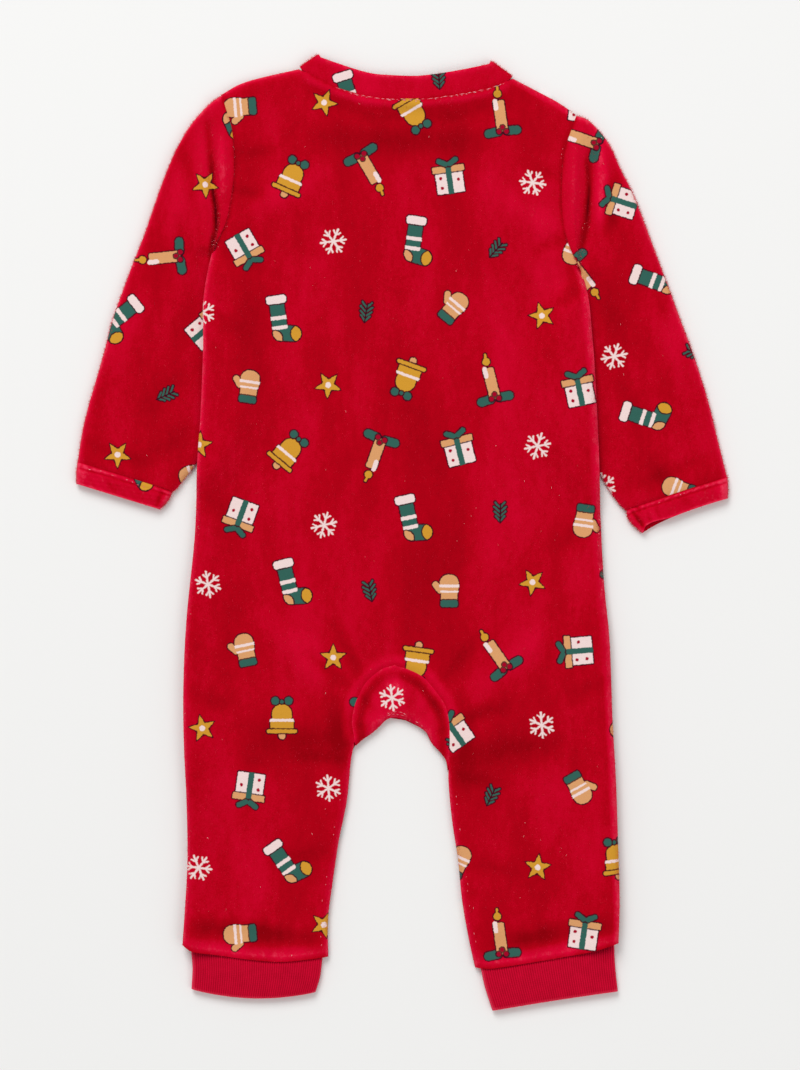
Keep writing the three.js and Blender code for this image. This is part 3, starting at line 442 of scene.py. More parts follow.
SHOULDER_SHARE = 3 / 8  # of the columns of a half panel
SECTION_COLUMNS = "left mid_left mid_right right top hem steps"
BACK_SECTIONS = table(
    SECTION_COLUMNS,
    (262.5, 259.8, 259.8, 250, 1, 0, 2), (254.5, 251.8, 251.8, 242, 1, 0, 7),
    (171.5, 165, 165, 157, 0, 0, 10), (41, 38, 38, 35, 0, 0, 8), (-66, -70, -70, -67, 0, 0, 1),
    (-75, -79.5, -79.5, -76, 0, 0, 1), (-78.5, -80.4, -80.4, -80, 0, 0, 1),
    (-83, -82.8, -82.8, -84, 0, 0, 1), (-88.5, -86.8, -86.8, -89, 0, 0, 1),
    (-94.5, -92.5, -92.5, -95, 0, 0, 1), (-101.5, -99.5, -99.5, -102, 0, 0, 1),
    (-109, -107.5, -107.5, -110, 0, 0, 1), (-117, -116, -116, -118, 0, 0, 1),
    (-125.5, -124.5, -124.5, -127, 0, 0, 1), (-132, -130.5, -130.5, -133, 0, 0, 1),
    (-138, -136.5, -136.5, -139, 0, 0, 1), (-149, -147.5, -147.5, -150, 0, 0, 8),
    (-246.9, -254.1, -260.7, -245.7, 0, 1, 1),
)


def spread(sections, fine):
    """Rows of a panel between its listed sections, with each step cut into fine ones."""
    steps = (sections["steps"][:-1] * fine).astype(int)
    places = np.concatenate([k + np.arange(n) / n for k, n in enumerate(steps)] + [[len(steps)]])
    index = np.arange(len(steps) + 1)
    return {name: np.interp(places, index, values) for name, values in sections.items()}


def half_panel(rows, columns, side, side_key, middle, middle_key, hem, top_edge, mirrored=False):
    """Grid of points of a half panel, rows down and columns to the right."""
    share = np.linspace(0, 1, columns + 1)
    if mirrored:
        share = share[::-1]
    side_y, middle_y = rows[side_key][:, None], rows[middle_key][:, None]
    side_x = smooth_at(side, "y", "x", side_y)
    middle_x = middle_at(middle, middle_y)
    x = side_x + (middle_x - side_x) * share
    y = side_y + (middle_y - side_y) * share
    top = top_edge(share)
    top_share, hem_share = rows["top"][:, None], rows["hem"][:, None]
    to_hem = (smooth_at(hem, "x", "y", x[-1]) - y[-1]) * hem_share
    return x + (top[:, 0] - x[0]) * top_share, y + (top[:, 1] - y[0]) * top_share + to_hem


def top_edge(tip_x, neck_x, shoulder, neck_point):
    """The top edge by share of the way to the middle: the shoulder, and then the neck."""
    def place(share):
        x = tip_x + (neck_x - tip_x) * share / SHOULDER_SHARE
        on_shoulder = np.stack([x, smooth_at(shoulder, "x", "y", x)], axis=-1)
        past = np.clip((share - SHOULDER_SHARE) / (1 - SHOULDER_SHARE), 0, 1)
        return np.where(share[:, None] > SHOULDER_SHARE, neck_point(past), on_shoulder)
    return place


CENTRE = 2.0  # x of the centre back and the centre front at the neck


def back_neck_point(neck_x):
    def place(share):
        x = neck_x + (CENTRE - neck_x) * share
        return np.stack([x, smooth_at(BACK_NECK, "x", "y", x)], axis=-1)
    return place


def grid_cells(rows, columns, offset=0):
    i, j = np.mgrid[0:rows, 0:columns]
    a = (i * (columns + 1) + j + offset).ravel()
    down = columns + 1
    return np.stack([a, a + down, a + down + 1, a + 1], axis=-1)


def join_alike(points, cells):
    """Merges points of a flat pattern that fall together."""
    _, first, back = np.unique(np.round(points, 3), axis=0, return_index=True, return_inverse=True)
    return points[first], back.ravel()[cells]


SHARP_ANGLE = 1.0  # radians past which an edge of the cloth keeps its corner
outer_faces = {}  # how many faces of each piece look outwards, by its name


def cloth_object(name, outer, inner, cells, nap_and_painted_light=0.0):
    """A wall of cloth between matching outer and inner points, with its cut edges closed.

    The last argument gives the tone at each outer point: below 0 darker, mostly painted shade in
    hollows, creases and seams, above 0 lighter, mostly painted highlight over ridges and edges.
    """
    outer_faces[name] = len(cells)
    count = len(outer)
    edges = {}
    for cell in cells.tolist():
        for a, b in zip(cell, cell[1:] + cell[:1]):
            edges[(a, b)] = None
    rim = [(b, a, a + count, b + count) for a, b in edges if (b, a) not in edges]
    faces = cells.tolist() + (cells[:, ::-1] + count).tolist() + rim
    piece = add_object(name, np.concatenate([outer, inner]), faces)
    piece.data.shade_smooth()
    piece.data.set_sharp_from_angle(angle=SHARP_ANGLE)
    # The tone that the velour reads: painted shade and painted highlight, with brushed patches of pile.
    layer = piece.data.attributes.new("nap_and_painted_light", "FLOAT", "POINT")
    layer.data.foreach_set("value", np.concatenate([nap_and_painted_light + np.zeros(count), np.zeros(count)]))
    return piece


def values_of(items, name, width=1, kind=float):
    """A value, or a row of values, for each item of a mesh."""
    values = np.empty(len(items) * width, kind)
    items.foreach_get(name, values)
    return values.reshape(-1, width) if width > 1 else values


def triangles_of(mesh):
    """The three corners of each triangle, as three arrays of points in metres."""
    mesh.calc_loop_triangles()
    corners = values_of(mesh.loop_triangles, "vertices", 3, int)
    return values_of(mesh.vertices, "co", 3)[corners].transpose(1, 0, 2)


def outward(piece):
    """Turns the faces of a closed piece outwards if they all face in."""
    a, b, c = triangles_of(piece.data)
    if (a * np.cross(b, c)).sum() < 0:
        piece.data.flip_normals()


# The velour is cut cotton pile, dyed red and printed with small winter motifs, each a few flat
# colours with a thin dark outline. A motif is drawn from plain shapes on the faces that it lies on.
# Tones of the pile: darker and lighter pile that also serve as painted shade and painted highlight, a
# deep painted shade for the deepest creases, and a pinkish painted highlight for the edges.
NAP_RED = (0.46, 0.0, 0.0085)
DARK_NAP_AND_SHADE = (0.27, 0.0, 0.0035)
LIGHT_NAP_AND_HIGHLIGHT = (0.72, 0.002, 0.038)
RIM_HIGHLIGHT_RED = (0.80, 0.045, 0.10)
CREASE_SHADE_RED = (0.075, 0.0, 0.0015)
IVORY = (0.84, 0.66, 0.64)
BISCUIT = (0.68, 0.33, 0.14)
PINE = (0.032, 0.118, 0.094)
MUSTARD = (0.62, 0.30, 0.03)
PLUM = (0.045, 0.002, 0.011)
BERRY = (0.36, 0.002, 0.02)
INK = 0.42  # half the width of a printed outline
BLEED = 0.22  # softness of a printed edge in the pile
RAGGED = 0.5  # how far the pile pulls a printed edge about


class Wire:
    """A number that runs through a node tree, so that shapes can be written as sums."""

    def __init__(self, tree, socket):
        self.tree = tree
        self.socket = socket

    def op(self, operation, *others):
        node = self.tree.nodes.new("ShaderNodeMath")
        node.operation = operation
        for slot, value in zip(node.inputs, (self, *others)):
            if isinstance(value, Wire):
                self.tree.links.new(value.socket, slot)
            else:
                slot.default_value = value
        return Wire(self.tree, node.outputs[0])

    def __add__(self, other):
        return self.op("ADD", other)

    def __sub__(self, other):
        return self.op("SUBTRACT", other)

    def __mul__(self, other):
        return self.op("MULTIPLY", other)

    def __truediv__(self, other):
        return self.op("DIVIDE", other)

    def __abs__(self):
        return self.op("ABSOLUTE")

    def clamp(self, low=0.0, high=1.0):
        return self.op("MAXIMUM", low).op("MINIMUM", high)


def length(x, y):
    return (x * x + y * y).op("SQRT")


def disc(x, y, cx, cy, r):
    return length(x - cx, y - cy) - r


def block(x, y, cx, cy, wide, tall, corner=1.0):
    """Rectangle with rounded corners."""
    dx = abs(x - cx) - (wide / 2 - corner)
    dy = abs(y - cy) - (tall / 2 - corner)
    outside = length(dx.op("MAXIMUM", 0.0), dy.op("MAXIMUM", 0.0))
    return outside + dx.op("MAXIMUM", dy).op("MINIMUM", 0.0) - corner


def stroke(x, y, x1, y1, x2, y2, r):
    """Straight stroke with round ends."""
    dx, dy = x2 - x1, y2 - y1
    px, py = x - x1, y - y1
    share = ((px * dx + py * dy) / (dx * dx + dy * dy)).clamp()
    return length(px - share * dx, py - share * dy) - r


def either(*shapes):
    joined = shapes[0]
    for shape in shapes[1:]:
        joined = joined.op("MINIMUM", shape)
    return joined


def both(a, b):
    return a.op("MAXIMUM", b)


def stocking(x, y):
    leg = block(x, y, -2, 3, 10.5, 20, 2)
    foot = stroke(x, y, -2, -9, 6.5, -10.5, 5.6)
    toe = both(foot, disc(x, y, 10.5, -11, 6))
    heel = both(either(leg, foot), disc(x, y, -6.5, -12, 5.5))
    cuff = block(x, y, -2, 14, 14.5, 6.4, 2.4)
    bands = both(leg, either(abs(y - 1.5) - 1.3, abs(y + 5.2) - 1.3))
    return [
        (either(leg, foot), PINE, True), (bands, IVORY, False), (toe, MUSTARD, True),
        (heel, BISCUIT, True), (cuff, IVORY, True),
    ]


def candle(x, y):
    leaves = stroke(abs(x), y, 9.5, -12.5, 3, -12, 3.2)
    wax = block(x, y, 0, -2, 8, 22, 1.6)
    drip = stroke(x, y, -2.2, 8.5, -2.2, 3.5, 1.5)
    flame = either(disc(x, y, 0, 13, 2.9), stroke(x, y, 0, 14.5, 0.4, 17.6, 1.2))
    wick = stroke(x, y, 0, 9, 0, 11, 0.4)
    berries = either(disc(x, y, -2.4, -12, 2), disc(x, y, 2.4, -12.6, 2), disc(x, y, 0.2, -9.4, 1.8))
    return [
        (leaves, PINE, True), (wax, BISCUIT, True), (drip, IVORY, False), (wick, PLUM, False),
        (flame, MUSTARD, True), (berries, BERRY, True),
    ]


def bell(x, y):
    clapper = disc(x, y, 0, -10.4, 2.6)
    body = either(stroke(x, y, 0, 3.4, 0, 2.2, 6.6), block(x, y, 0, -3.4, 15.4, 8.4, 2))
    lip = stroke(x, y, -8.4, -7.6, 8.4, -7.6, 1.6)
    belt = both(body, abs(y + 0.6) - 0.9)
    bow = disc(abs(x), y, 4.2, 11.6, 2.9)
    knot = disc(x, y, 0, 11, 1.6)
    return [
        (clapper, BISCUIT, True), (body, MUSTARD, True), (belt, IVORY, False), (lip, MUSTARD, True),
        (bow, PINE, True), (knot, PINE, True),
    ]


def mitten(x, y):
    palm = either(block(x, y, 0, 4, 14, 16, 6.4), block(x, y, 0, -2, 12.4, 11, 1.5))
    thumb = stroke(x, y, -6.5, 0.5, -9.6, 4.6, 2.6)
    cuff = block(x, y, 0, -8.8, 13, 5.8, 2)
    bands = both(palm, either(abs(y - 3.5) - 1.0, abs(y + 0.5) - 0.7))
    return [(either(palm, thumb), BISCUIT, True), (bands, IVORY, False), (cuff, PINE, True)]


def parcel(x, y):
    box = block(x, y, 0, -4, 19, 16, 1)
    lid = block(x, y, 0, 4.6, 22, 5, 1)
    ribbon = both(either(box, lid), abs(x) - 1.9)
    loops = stroke(abs(x), y, 1.4, 8, 5.6, 10.4, 2.1)
    spots = either(disc(x, y, -5.6, -7.6, 1.1), disc(x, y, 5.8, -3, 1.1), disc(x, y, -5.8, -1, 1.1))
    return [
        (box, IVORY, True), (spots, BERRY, False), (lid, BISCUIT, True), (ribbon, PINE, False),
        (loops, PINE, True),
    ]


def star(x, y):
    angle = x.op("ARCTAN2", y)
    point = (angle / (2 * np.pi / 5)).op("FRACT")
    ridge = abs(point - 0.5) * 2.0
    reach = ridge * ridge * 4.6 + 4.2
    far = length(x, y)
    return [((far - reach) * 0.7, MUSTARD, True), (far - 1.8, IVORY, False)]


def snowflake(x, y):
    angle = (x.op("ARCTAN2", y) / (np.pi / 3)).op("FRACT") - 0.5
    turn = abs(angle) * (np.pi / 3)
    far = length(x, y)
    along, across = far * turn.op("COSINE"), far * turn.op("SINE")
    arms = stroke(along, across, 0, 0, 7.6, 0, 0.62)
    twigs = stroke(along, across, 4, 0, 6.2, 2.1, 0.5)
    return [(either(arms, twigs), IVORY, False)]


def sprig(x, y):
    stem = stroke(x, y, 0, -6.5, 0.4, 6.5, 0.45)
    needles = [
        stroke(abs(x), y, 0.2, base, 4.2 - 0.25 * abs(base), base + 3.2, 1.0) for base in (-5, -2, 1, 4)
    ]
    return [(either(*needles), PINE, True), (stem, PLUM, False)]


# Each motif, the radius that holds it and its printed size
MOTIFS = [
    (stocking, 19.5, 0.88), (star, 11.0, 0.95), (parcel, 17.0, 0.9), (sprig, 10.5, 0.9),
    (bell, 17.5, 0.95), (snowflake, 10.0, 1.0), (mitten, 16.0, 0.85), (candle, 20.5, 0.9),
]


def noise(tree, place, waves, detail=3.0, roughness=0.6):
    """Soft noise with its own number of waves in a metre along each axis."""
    mapping = tree.nodes.new("ShaderNodeMapping")
    mapping.inputs["Scale"].default_value = waves if isinstance(waves, tuple) else (waves,) * 3
    tree.links.new(place, mapping.inputs["Vector"])
    node = tree.nodes.new("ShaderNodeTexNoise")
    node.inputs["Scale"].default_value = 1.0
    node.inputs["Detail"].default_value = detail
    node.inputs["Roughness"].default_value = roughness
    tree.links.new(mapping.outputs["Vector"], node.inputs["Vector"])
    return node


def tone_noise(tree, place, waves, detail=3.0, roughness=0.6):
    return Wire(tree, noise(tree, place, waves, detail, roughness).outputs["Fac"])


def attribute(tree, name):
    node = tree.nodes.new("ShaderNodeAttribute")
    node.attribute_name = name
    return Wire(tree, node.outputs["Fac"])


def flat_place(tree, uv_name):
    """The two numbers of a UV layer."""
    where = tree.nodes.new("ShaderNodeUVMap")
    where.uv_map = uv_name
    parts = tree.nodes.new("ShaderNodeSeparateXYZ")
    tree.links.new(where.outputs["UV"], parts.inputs[0])
    return Wire(tree, parts.outputs["X"]), Wire(tree, parts.outputs["Y"])


def raise_pile(tree, shader, height, strength, distance):
    """Fine relief from a height, as deep as a distance in metres."""
    bump = tree.nodes.new("ShaderNodeBump")
    bump.inputs["Strength"].default_value = strength
    bump.inputs["Distance"].default_value = distance
    tree.links.new(height.socket, bump.inputs["Height"])
    tree.links.new(bump.outputs["Normal"], shader.inputs["Normal"])


def blended(tree, below, above, share):
    """Mix of two colours, each a socket or three numbers, by a Wire."""
    node = tree.nodes.new("ShaderNodeMix")
    node.data_type = "RGBA"
    for slot, value in ((node.inputs["A"], below), (node.inputs["B"], above)):
        if isinstance(value, tuple):
            slot.default_value = (*value, 1)
        else:
            tree.links.new(value, slot)
    tree.links.new(share.socket, node.inputs["Factor"])
    return node.outputs["Result"]


def inside(shape, edge=0.0):
    """1 inside a printed shape, 0 outside, with an edge that bleeds a little."""
    return ((shape * -1.0 + edge) / (2 * BLEED) + 0.5).clamp()


BROAD_WAVES = (46, 17, 30)  # in a metre: patches where the pile lies one way
SHORT_WAVES = (320, 170, 240)  # brushed strokes
TUFT_WAVES = (1500, 1100, 1500)
DRIFT_WAVES = 900
WORN_INK = 0.62  # how much ink the pile holds at its thinnest
VELOUR_SHEEN = (0.5, (1.0, 0.10, 0.17))


def printed(tree, place, colour, short, tufts, motif, size):
    """The colour of the cloth with one motif printed on it."""
    x, y = flat_place(tree, "print")
    pulls = tree.nodes.new("ShaderNodeSeparateColor")
    tree.links.new(noise(tree, place, DRIFT_WAVES, 1.0, 0.5).outputs["Color"], pulls.inputs[0])
    x = x / size + (Wire(tree, pulls.outputs["Red"]) - 0.5) * 2 * RAGGED
    y = y / size + (Wire(tree, pulls.outputs["Green"]) - 0.5) * 2 * RAGGED
    worn = (short * 0.5 + tufts * 0.5 + WORN_INK).op("MINIMUM", 1.0)
    for shape, ink, outlined in motif(x, y):
        if outlined:
            colour = blended(tree, colour, PLUM, inside(shape, INK) * 0.92)
        colour = blended(tree, colour, ink, inside(shape, -INK if outlined else 0.0) * worn)
    return colour


def velour_material(name, motif=None, size=1.0):
    """Red cotton velour: brushed pile in lighter and darker strokes, soft sheen at its edges, painted
    shade and highlight.
    """
    material, tree, shader, place = new_material(name, 0.9, None, VELOUR_SHEEN, 0.02)
    broad = tone_noise(tree, place, BROAD_WAVES, 4.0, 0.55)
    short = tone_noise(tree, place, SHORT_WAVES, 3.0, 0.65)
    tufts = tone_noise(tree, place, TUFT_WAVES, 2.0, 0.7)
    nap_and_painted_light = attribute(tree, "nap_and_painted_light")
    grain = (broad - 0.5) * 1.5 + (short - 0.5) * 0.65 + (tufts - 0.5) * 0.95
    # Darker and lighter by the grain of the pile and by the painted shade and highlight of the mesh. The
    # deepest creases take a deeper painted shade, and the edges a pinkish painted highlight.
    darker_nap_and_shade = (grain * 0.9 - nap_and_painted_light * 0.95 + 0.1).clamp()
    lighter_nap_and_highlight = (nap_and_painted_light * 0.75 - grain * 0.75 + 0.02).clamp(high=0.85)
    deep = ((nap_and_painted_light * -1.0 - 1.25) * 0.9).clamp(high=0.85)
    rim = ((nap_and_painted_light - 0.8 + (short - 0.5) * 2.0 + (tufts - 0.5) * 1.6) * 0.9).clamp(high=0.8)
    colour = NAP_RED
    for tone, share in ((DARK_NAP_AND_SHADE, darker_nap_and_shade), (LIGHT_NAP_AND_HIGHLIGHT, lighter_nap_and_highlight), (CREASE_SHADE_RED, deep), (RIM_HIGHLIGHT_RED, rim)):
        colour = blended(tree, colour, tone, share)
    if motif:
        colour = printed(tree, place, colour, short, tufts, motif, size)
    tree.links.new(colour, shader.inputs["Base Color"])
    tree.links.new((tufts * 0.14 + 0.82).op("MINIMUM", 1.0).socket, shader.inputs["Roughness"])
    shader.inputs["Sheen Roughness"].default_value = 0.35
    raise_pile(tree, shader, short * 0.8 + tufts * 0.6 + broad * 0.8, 0.55, 0.0006)
    return material


VELOUR_PLAIN = velour_material("velour")
VELOUR_PRINTED = [
    velour_material(f"velour_{draw.__name__}", draw, size) for draw, _, size in MOTIFS
]
PRINT_PITCH = (50.0, 41.0)  # across and down the cloth
PRINT_DRIFT = (3.2, 3.6)  # how far the motifs stray from even rows
PRINT_MARGIN = 30.0  # outside a piece, where motifs still reach in
MOTIF_MARGIN = 1.2  # for the cells that a motif only touches
LEAST_FACING = -0.2  # cells that face further away than this hold no print
PRINT_TURNS = (12, -24, 160, 35, -8, 0, -150, 14, 95, -40, 172, 8)  # degrees, in turn


def lay_print(piece, origin=(0.0, 0.0), turn=0.0, from_below=False, first=0):
    """Prints motifs on a piece, in offset rows on the cloth as it was cut."""
    mesh = piece.data
    for material in (VELOUR_PLAIN, *VELOUR_PRINTED):
        mesh.materials.append(material)
    faces = mesh.polygons
    centre = values_of(faces, "center", 3)[:, :2] / MM
    shown = values_of(faces, "normal", 3)[:, 2] * (-1 if from_below else 1) > LEAST_FACING
    corner = values_of(mesh.loops, "vertex_index", kind=int)
    corner_place = values_of(mesh.vertices, "co", 3)[corner][:, :2] / MM
    face_of_corner = np.repeat(np.arange(len(faces)), values_of(faces, "loop_total", kind=int))
    slots = np.zeros(len(faces), int)
    uv = np.zeros((len(mesh.loops), 2))
    cos_turn, sin_turn = np.cos(np.radians(turn)), np.sin(np.radians(turn))
    low, high = centre.min(axis=0) - PRINT_MARGIN, centre.max(axis=0) + PRINT_MARGIN
    reach = int(max(high - low) / min(PRINT_PITCH)) + 2
    for row in range(-reach, reach + 1):
        for column in range(-reach, reach + 1):
            u = column * PRINT_PITCH[0] + (row % 2) * PRINT_PITCH[0] / 2
            u += PRINT_DRIFT[0] * np.sin(row * 2.1 + column)
            v = row * PRINT_PITCH[1] + PRINT_DRIFT[1] * np.sin(column * 1.7 + row * 0.6)
            x = origin[0] + u * cos_turn - v * sin_turn
            y = origin[1] + u * sin_turn + v * cos_turn
            if not (low[0] < x < high[0] and low[1] < y < high[1]):
                continue
            kind = (column * 3 + row * 2 + first) % len(MOTIFS)
            _, radius, size = MOTIFS[kind]
            angle = np.radians(PRINT_TURNS[(column * 5 + row * 7) % len(PRINT_TURNS)] + turn)
            away = np.hypot(centre[:, 0] - x, centre[:, 1] - y)
            near = shown & (away < radius * size + MOTIF_MARGIN)
            slots[near] = kind + 1
            mine = near[face_of_corner]
            dx, dy = corner_place[mine, 0] - x, corner_place[mine, 1] - y
            if from_below:
                dx = -dx
            uv[mine, 0] = dx * np.cos(angle) + dy * np.sin(angle)
            uv[mine, 1] = dy * np.cos(angle) - dx * np.sin(angle)
    mesh.uv_layers.new(name="print").data.foreach_set("uv", uv.ravel())
    faces.foreach_set("material_index", slots)
    mesh.update()


LOOSE_FLAT = 0.22  # loose ends of pile on a square millimetre of flat cloth
LOOSE_EDGE = 4.2  # the same on a rolled edge, where they stand off and catch the light
LOOSE_LENGTH = (0.6, 1.8)
LOOSE_WIDTH = 0.17
PALE_SHARE = 0.005  # undyed ends, which show as pale flecks
PALE_EDGE = 0.05  # the same on a rolled edge
PALE_WIDTH = 0.32
PILE_SHEEN = (0.4, (1.0, 0.15, 0.22))
PILE_STAND = 0.45  # how far the loose ends stand up
EDGE_STAND = 0.3  # how much more they do on a rolled edge
PILE_STRAY = 0.3  # how far they lean out of line
PILE_ROOT = 0.1  # how deep they start in the cloth
EDGE_SLOPE = 1.7  # the larger, the flatter is cloth that already counts as an edge
LEAST_HEIGHT = 0.02  # of a loose end above the surface
NAP_WAY = np.array([0.12, -0.8, 0.0])  # the pile lies down towards the feet
fibre_order = np.random.default_rng(11)


def loose_pile_material(name, tip_colour):
    material, tree, shader, place = new_material(name, 0.9, None, PILE_SHEEN, 0.03)
    share = ((tone_noise(tree, place, 420, 1.0) - 0.35) * 3.0).clamp()
    tree.links.new(blended(tree, NAP_RED, tip_colour, share), shader.inputs["Base Color"])
    return material


LOOSE_PILE = loose_pile_material("loose_pile", (0.82, 0.03, 0.07))
PALE_PILE = loose_pile_material("pale_pile", (0.95, 0.55, 0.55))


def loose_pile(piece):
    """Loose ends of the pile on the outer face of a piece, each one a thin triangle."""
    a, b, c = triangles_of(piece.data) / MM
    owner = values_of(piece.data.loop_triangles, "polygon_index", kind=int)
    slots = values_of(piece.data.polygons, "material_index", kind=int)
    cross = np.cross(b - a, c - a)
    size = np.maximum(np.linalg.norm(cross, axis=1), 1e-9)
    normal = cross / size[:, None]
    steep = smooth((1 - np.abs(normal[:, 2])) * EDGE_SLOPE)
    density = LOOSE_EDGE * steep + LOOSE_FLAT * (1 - steep) * (slots[owner] == 0)
    weight = size / 2 * density * (owner < outer_faces[piece.name])
    number = int(weight.sum())
    chosen = fibre_order.choice(len(owner), number, p=weight / weight.sum())
    u, v = fibre_order.random((2, number, 1))
    over = u + v > 1
    u, v = np.where(over, 1 - u, u), np.where(over, 1 - v, v)
    root = a[chosen] + u * (b - a)[chosen] + v * (c - a)[chosen]
    upright = normal[chosen]
    stray = fibre_order.normal(0, PILE_STRAY, (number, 3))
    lean = NAP_WAY * (1 - steep[chosen])[:, None] + stray
    way = upright * (PILE_STAND + EDGE_STAND * steep[chosen])[:, None] + lean
    reach = fibre_order.uniform(*LOOSE_LENGTH, (number, 1))
    tip = root + way / np.linalg.norm(way, axis=1)[:, None] * reach
    tip[:, 2] = np.maximum(tip[:, 2], LEAST_HEIGHT)
    pale = fibre_order.random(number) < PALE_SHARE + (PALE_EDGE - PALE_SHARE) * steep[chosen]
    across = np.cross(way, fibre_order.normal(0, 1, (number, 3)))
    width = np.where(pale, PALE_WIDTH, LOOSE_WIDTH)
    across *= (width / 2 / np.linalg.norm(across, axis=1))[:, None]
    root = root - PILE_ROOT * upright
    points = np.stack([root - across, root + across, tip], axis=1).reshape(-1, 3)
    ends = np.arange(number * 3).reshape(-1, 3).tolist()
    pile = add_object(piece.name + "_pile", points, ends, [LOOSE_PILE, PALE_PILE])
    pile.data.polygons.foreach_set("material_index", pale.astype(int))
    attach(pile, "root")
    return pile


FINE = 4  # cuts of each step of the solids
back_rows = spread(BACK_SECTIONS, FINE)
back_columns = 8 * FINE + 8
left_top = top_edge(-108, -62, LEFT_SHOULDER, back_neck_point(-62))
right_top = top_edge(104.6, 66.6, RIGHT_SHOULDER, back_neck_point(66.6))


def flat_points(grids):
    """Points and cells of some grids, merged where they meet."""
    points, cells, offset = [], [], 0
    for x, y in grids:
        rows, columns = x.shape[0] - 1, x.shape[1] - 1
        points.append(np.stack([x.ravel(), y.ravel()], axis=-1))
        cells.append(grid_cells(rows, columns, offset))
        offset += x.size
    return join_alike(np.concatenate(points), np.concatenate(cells))


def panel(name, grids, top, bottom, nap_and_painted_light=None):
    """A panel of cloth between two heights over a flat pattern."""
    points, cells = flat_points(grids)
    x, y = points.T
    upper = np.stack([x, y, top(x, y)], axis=-1)
    lower = np.stack([x, y, bottom(x, y)], axis=-1)
    return cloth_object(name, upper, lower, cells, nap_and_painted_light(x, y) if nap_and_painted_light else 0.0)


back = panel(
    "back_velour",
    [
        half_panel(back_rows, back_columns, LEFT_SIDE, "left", LEFT_MIDDLE, "mid_left",
                   LEFT_HEM, left_top),
        half_panel(back_rows, back_columns, RIGHT_SIDE, "right", RIGHT_MIDDLE, "mid_right",
                   RIGHT_HEM, right_top, mirrored=True),
    ],
    back_top,
    back_bottom,
    back_nap_and_painted_light,
)
lay_print(back, origin=(6, 8))
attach(back, "root")
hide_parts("back")
back_pile = loose_pile(back)

# Fronts
# Two fronts, each with its front leg, face down on the surface. Each is sewn to the placket, and
# to the back at the shoulder, down the side and inside the leg.
PLACKET_HALF = 9.0
FRONT_NECK_DEPTH = 212.0  # y of the front neck seam at the centre front
LEFT_NECK = (-62.0, 277.6)
RIGHT_NECK = (66.6, 271.9)
LEFT_FRONT_MIDDLE = table(
    "y x",
    (220, CENTRE - PLACKET_HALF - SEAM_GAP), (-109, CENTRE - PLACKET_HALF - SEAM_GAP),
    (-112, -9.6), (-116, -13.2), (-120.3, -18), (-124.2, -24), (-128.4, -28.6), (-136.5, -30.6),
    (-160.5, -33), (-184.5, -37.8), (-208.5, -41.4), (-232.5, -44.4), (-254.1, -44.2),
)
RIGHT_FRONT_MIDDLE = table(
    "y x",
    (220, CENTRE + PLACKET_HALF + SEAM_GAP), (-115, CENTRE + PLACKET_HALF + SEAM_GAP),
    (-119.7, 14.4), (-126.3, 17.8), (-131.7, 22.8), (-136.5, 26.4), (-144.9, 28), (-160.5, 28.8),
    (-172.5, 30), (-196.5, 33.6), (-220.5, 36), (-244.5, 40.2), (-260.7, 43.8),
)
FRONT_SECTIONS = table(
    SECTION_COLUMNS,
    (262.5, 213, 213, 250, 1, 0, 7), (171.5, 150, 150, 157, 0, 0, 8), (41, 34, 34, 35, 0, 0, 7),
    (-91, -100, -100, -92, 0, 0, 1), (-99, -109, -109, -101, 0, 0, 1),
    (-103.5, -112, -112, -105.5, 0, 0, 1), (-108.5, -116, -115, -110, 0, 0, 1),
    (-114, -120.3, -119.7, -115, 0, 0, 1), (-120, -124.2, -126.3, -122, 0, 0, 1),
    (-127, -128.4, -131.7, -129, 0, 0, 1), (-135, -136.5, -136.5, -136, 0, 0, 1),
    (-144, -146, -144.9, -144, 0, 0, 7), (-246.9, -254.1, -260.7, -245.7, 0, 1, 1),
)
EDGE_TURN = 1.4  # width over which the under face turns up at a seam
EDGE_LIFT = 0.6  # how far it does


def front_neck_at(neck, angle):
    """The scooped front neck: a quarter ellipse from a neck point down to the centre front."""
    x = CENTRE - (CENTRE - neck[0]) * np.cos(angle)
    return x, neck[1] - (neck[1] - FRONT_NECK_DEPTH) * np.sin(angle)


def placket_angle(neck):
    return np.arccos((PLACKET_HALF + SEAM_GAP) / abs(CENTRE - neck[0]))


def front_under(x, y):
    """The under face of a front, turned up a little where it is sewn."""
    seams = [*FREE_EDGES, LEFT_ARMHOLE, RIGHT_ARMHOLE, *HEM_SEAMS]
    return front_bottom(x, y) + EDGE_LIFT * (1 - roll(distance_to(seams, x, y) / EDGE_TURN))


def make_front(name, side, side_key, middle, middle_key, hem, tip_x, neck, shoulder, mirrored):
    def neck_point(share):
        return np.stack(front_neck_at(neck, placket_angle(neck) * share), axis=-1)

    rows = spread(FRONT_SECTIONS, FINE)
    edge = top_edge(tip_x, neck[0], shoulder, neck_point)
    grid = half_panel(rows, 6 * FINE, side, side_key, middle, middle_key, hem, edge, mirrored)
    return panel(name, [grid], front_top, front_under)


front_left = make_front("front_left_velour", LEFT_SIDE, "left", LEFT_FRONT_MIDDLE, "mid_left",
                        LEFT_HEM, -108, LEFT_NECK, LEFT_SHOULDER, False)
front_right = make_front("front_right_velour", RIGHT_SIDE, "right", RIGHT_FRONT_MIDDLE, "mid_right",
                         RIGHT_HEM, 104.6, RIGHT_NECK, RIGHT_SHOULDER, True)
for piece, node in ((front_left, "front_left"), (front_right, "front_right")):
    lay_print(piece, origin=(-14, 22), from_below=True)
    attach(piece, "root")
    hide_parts(node)

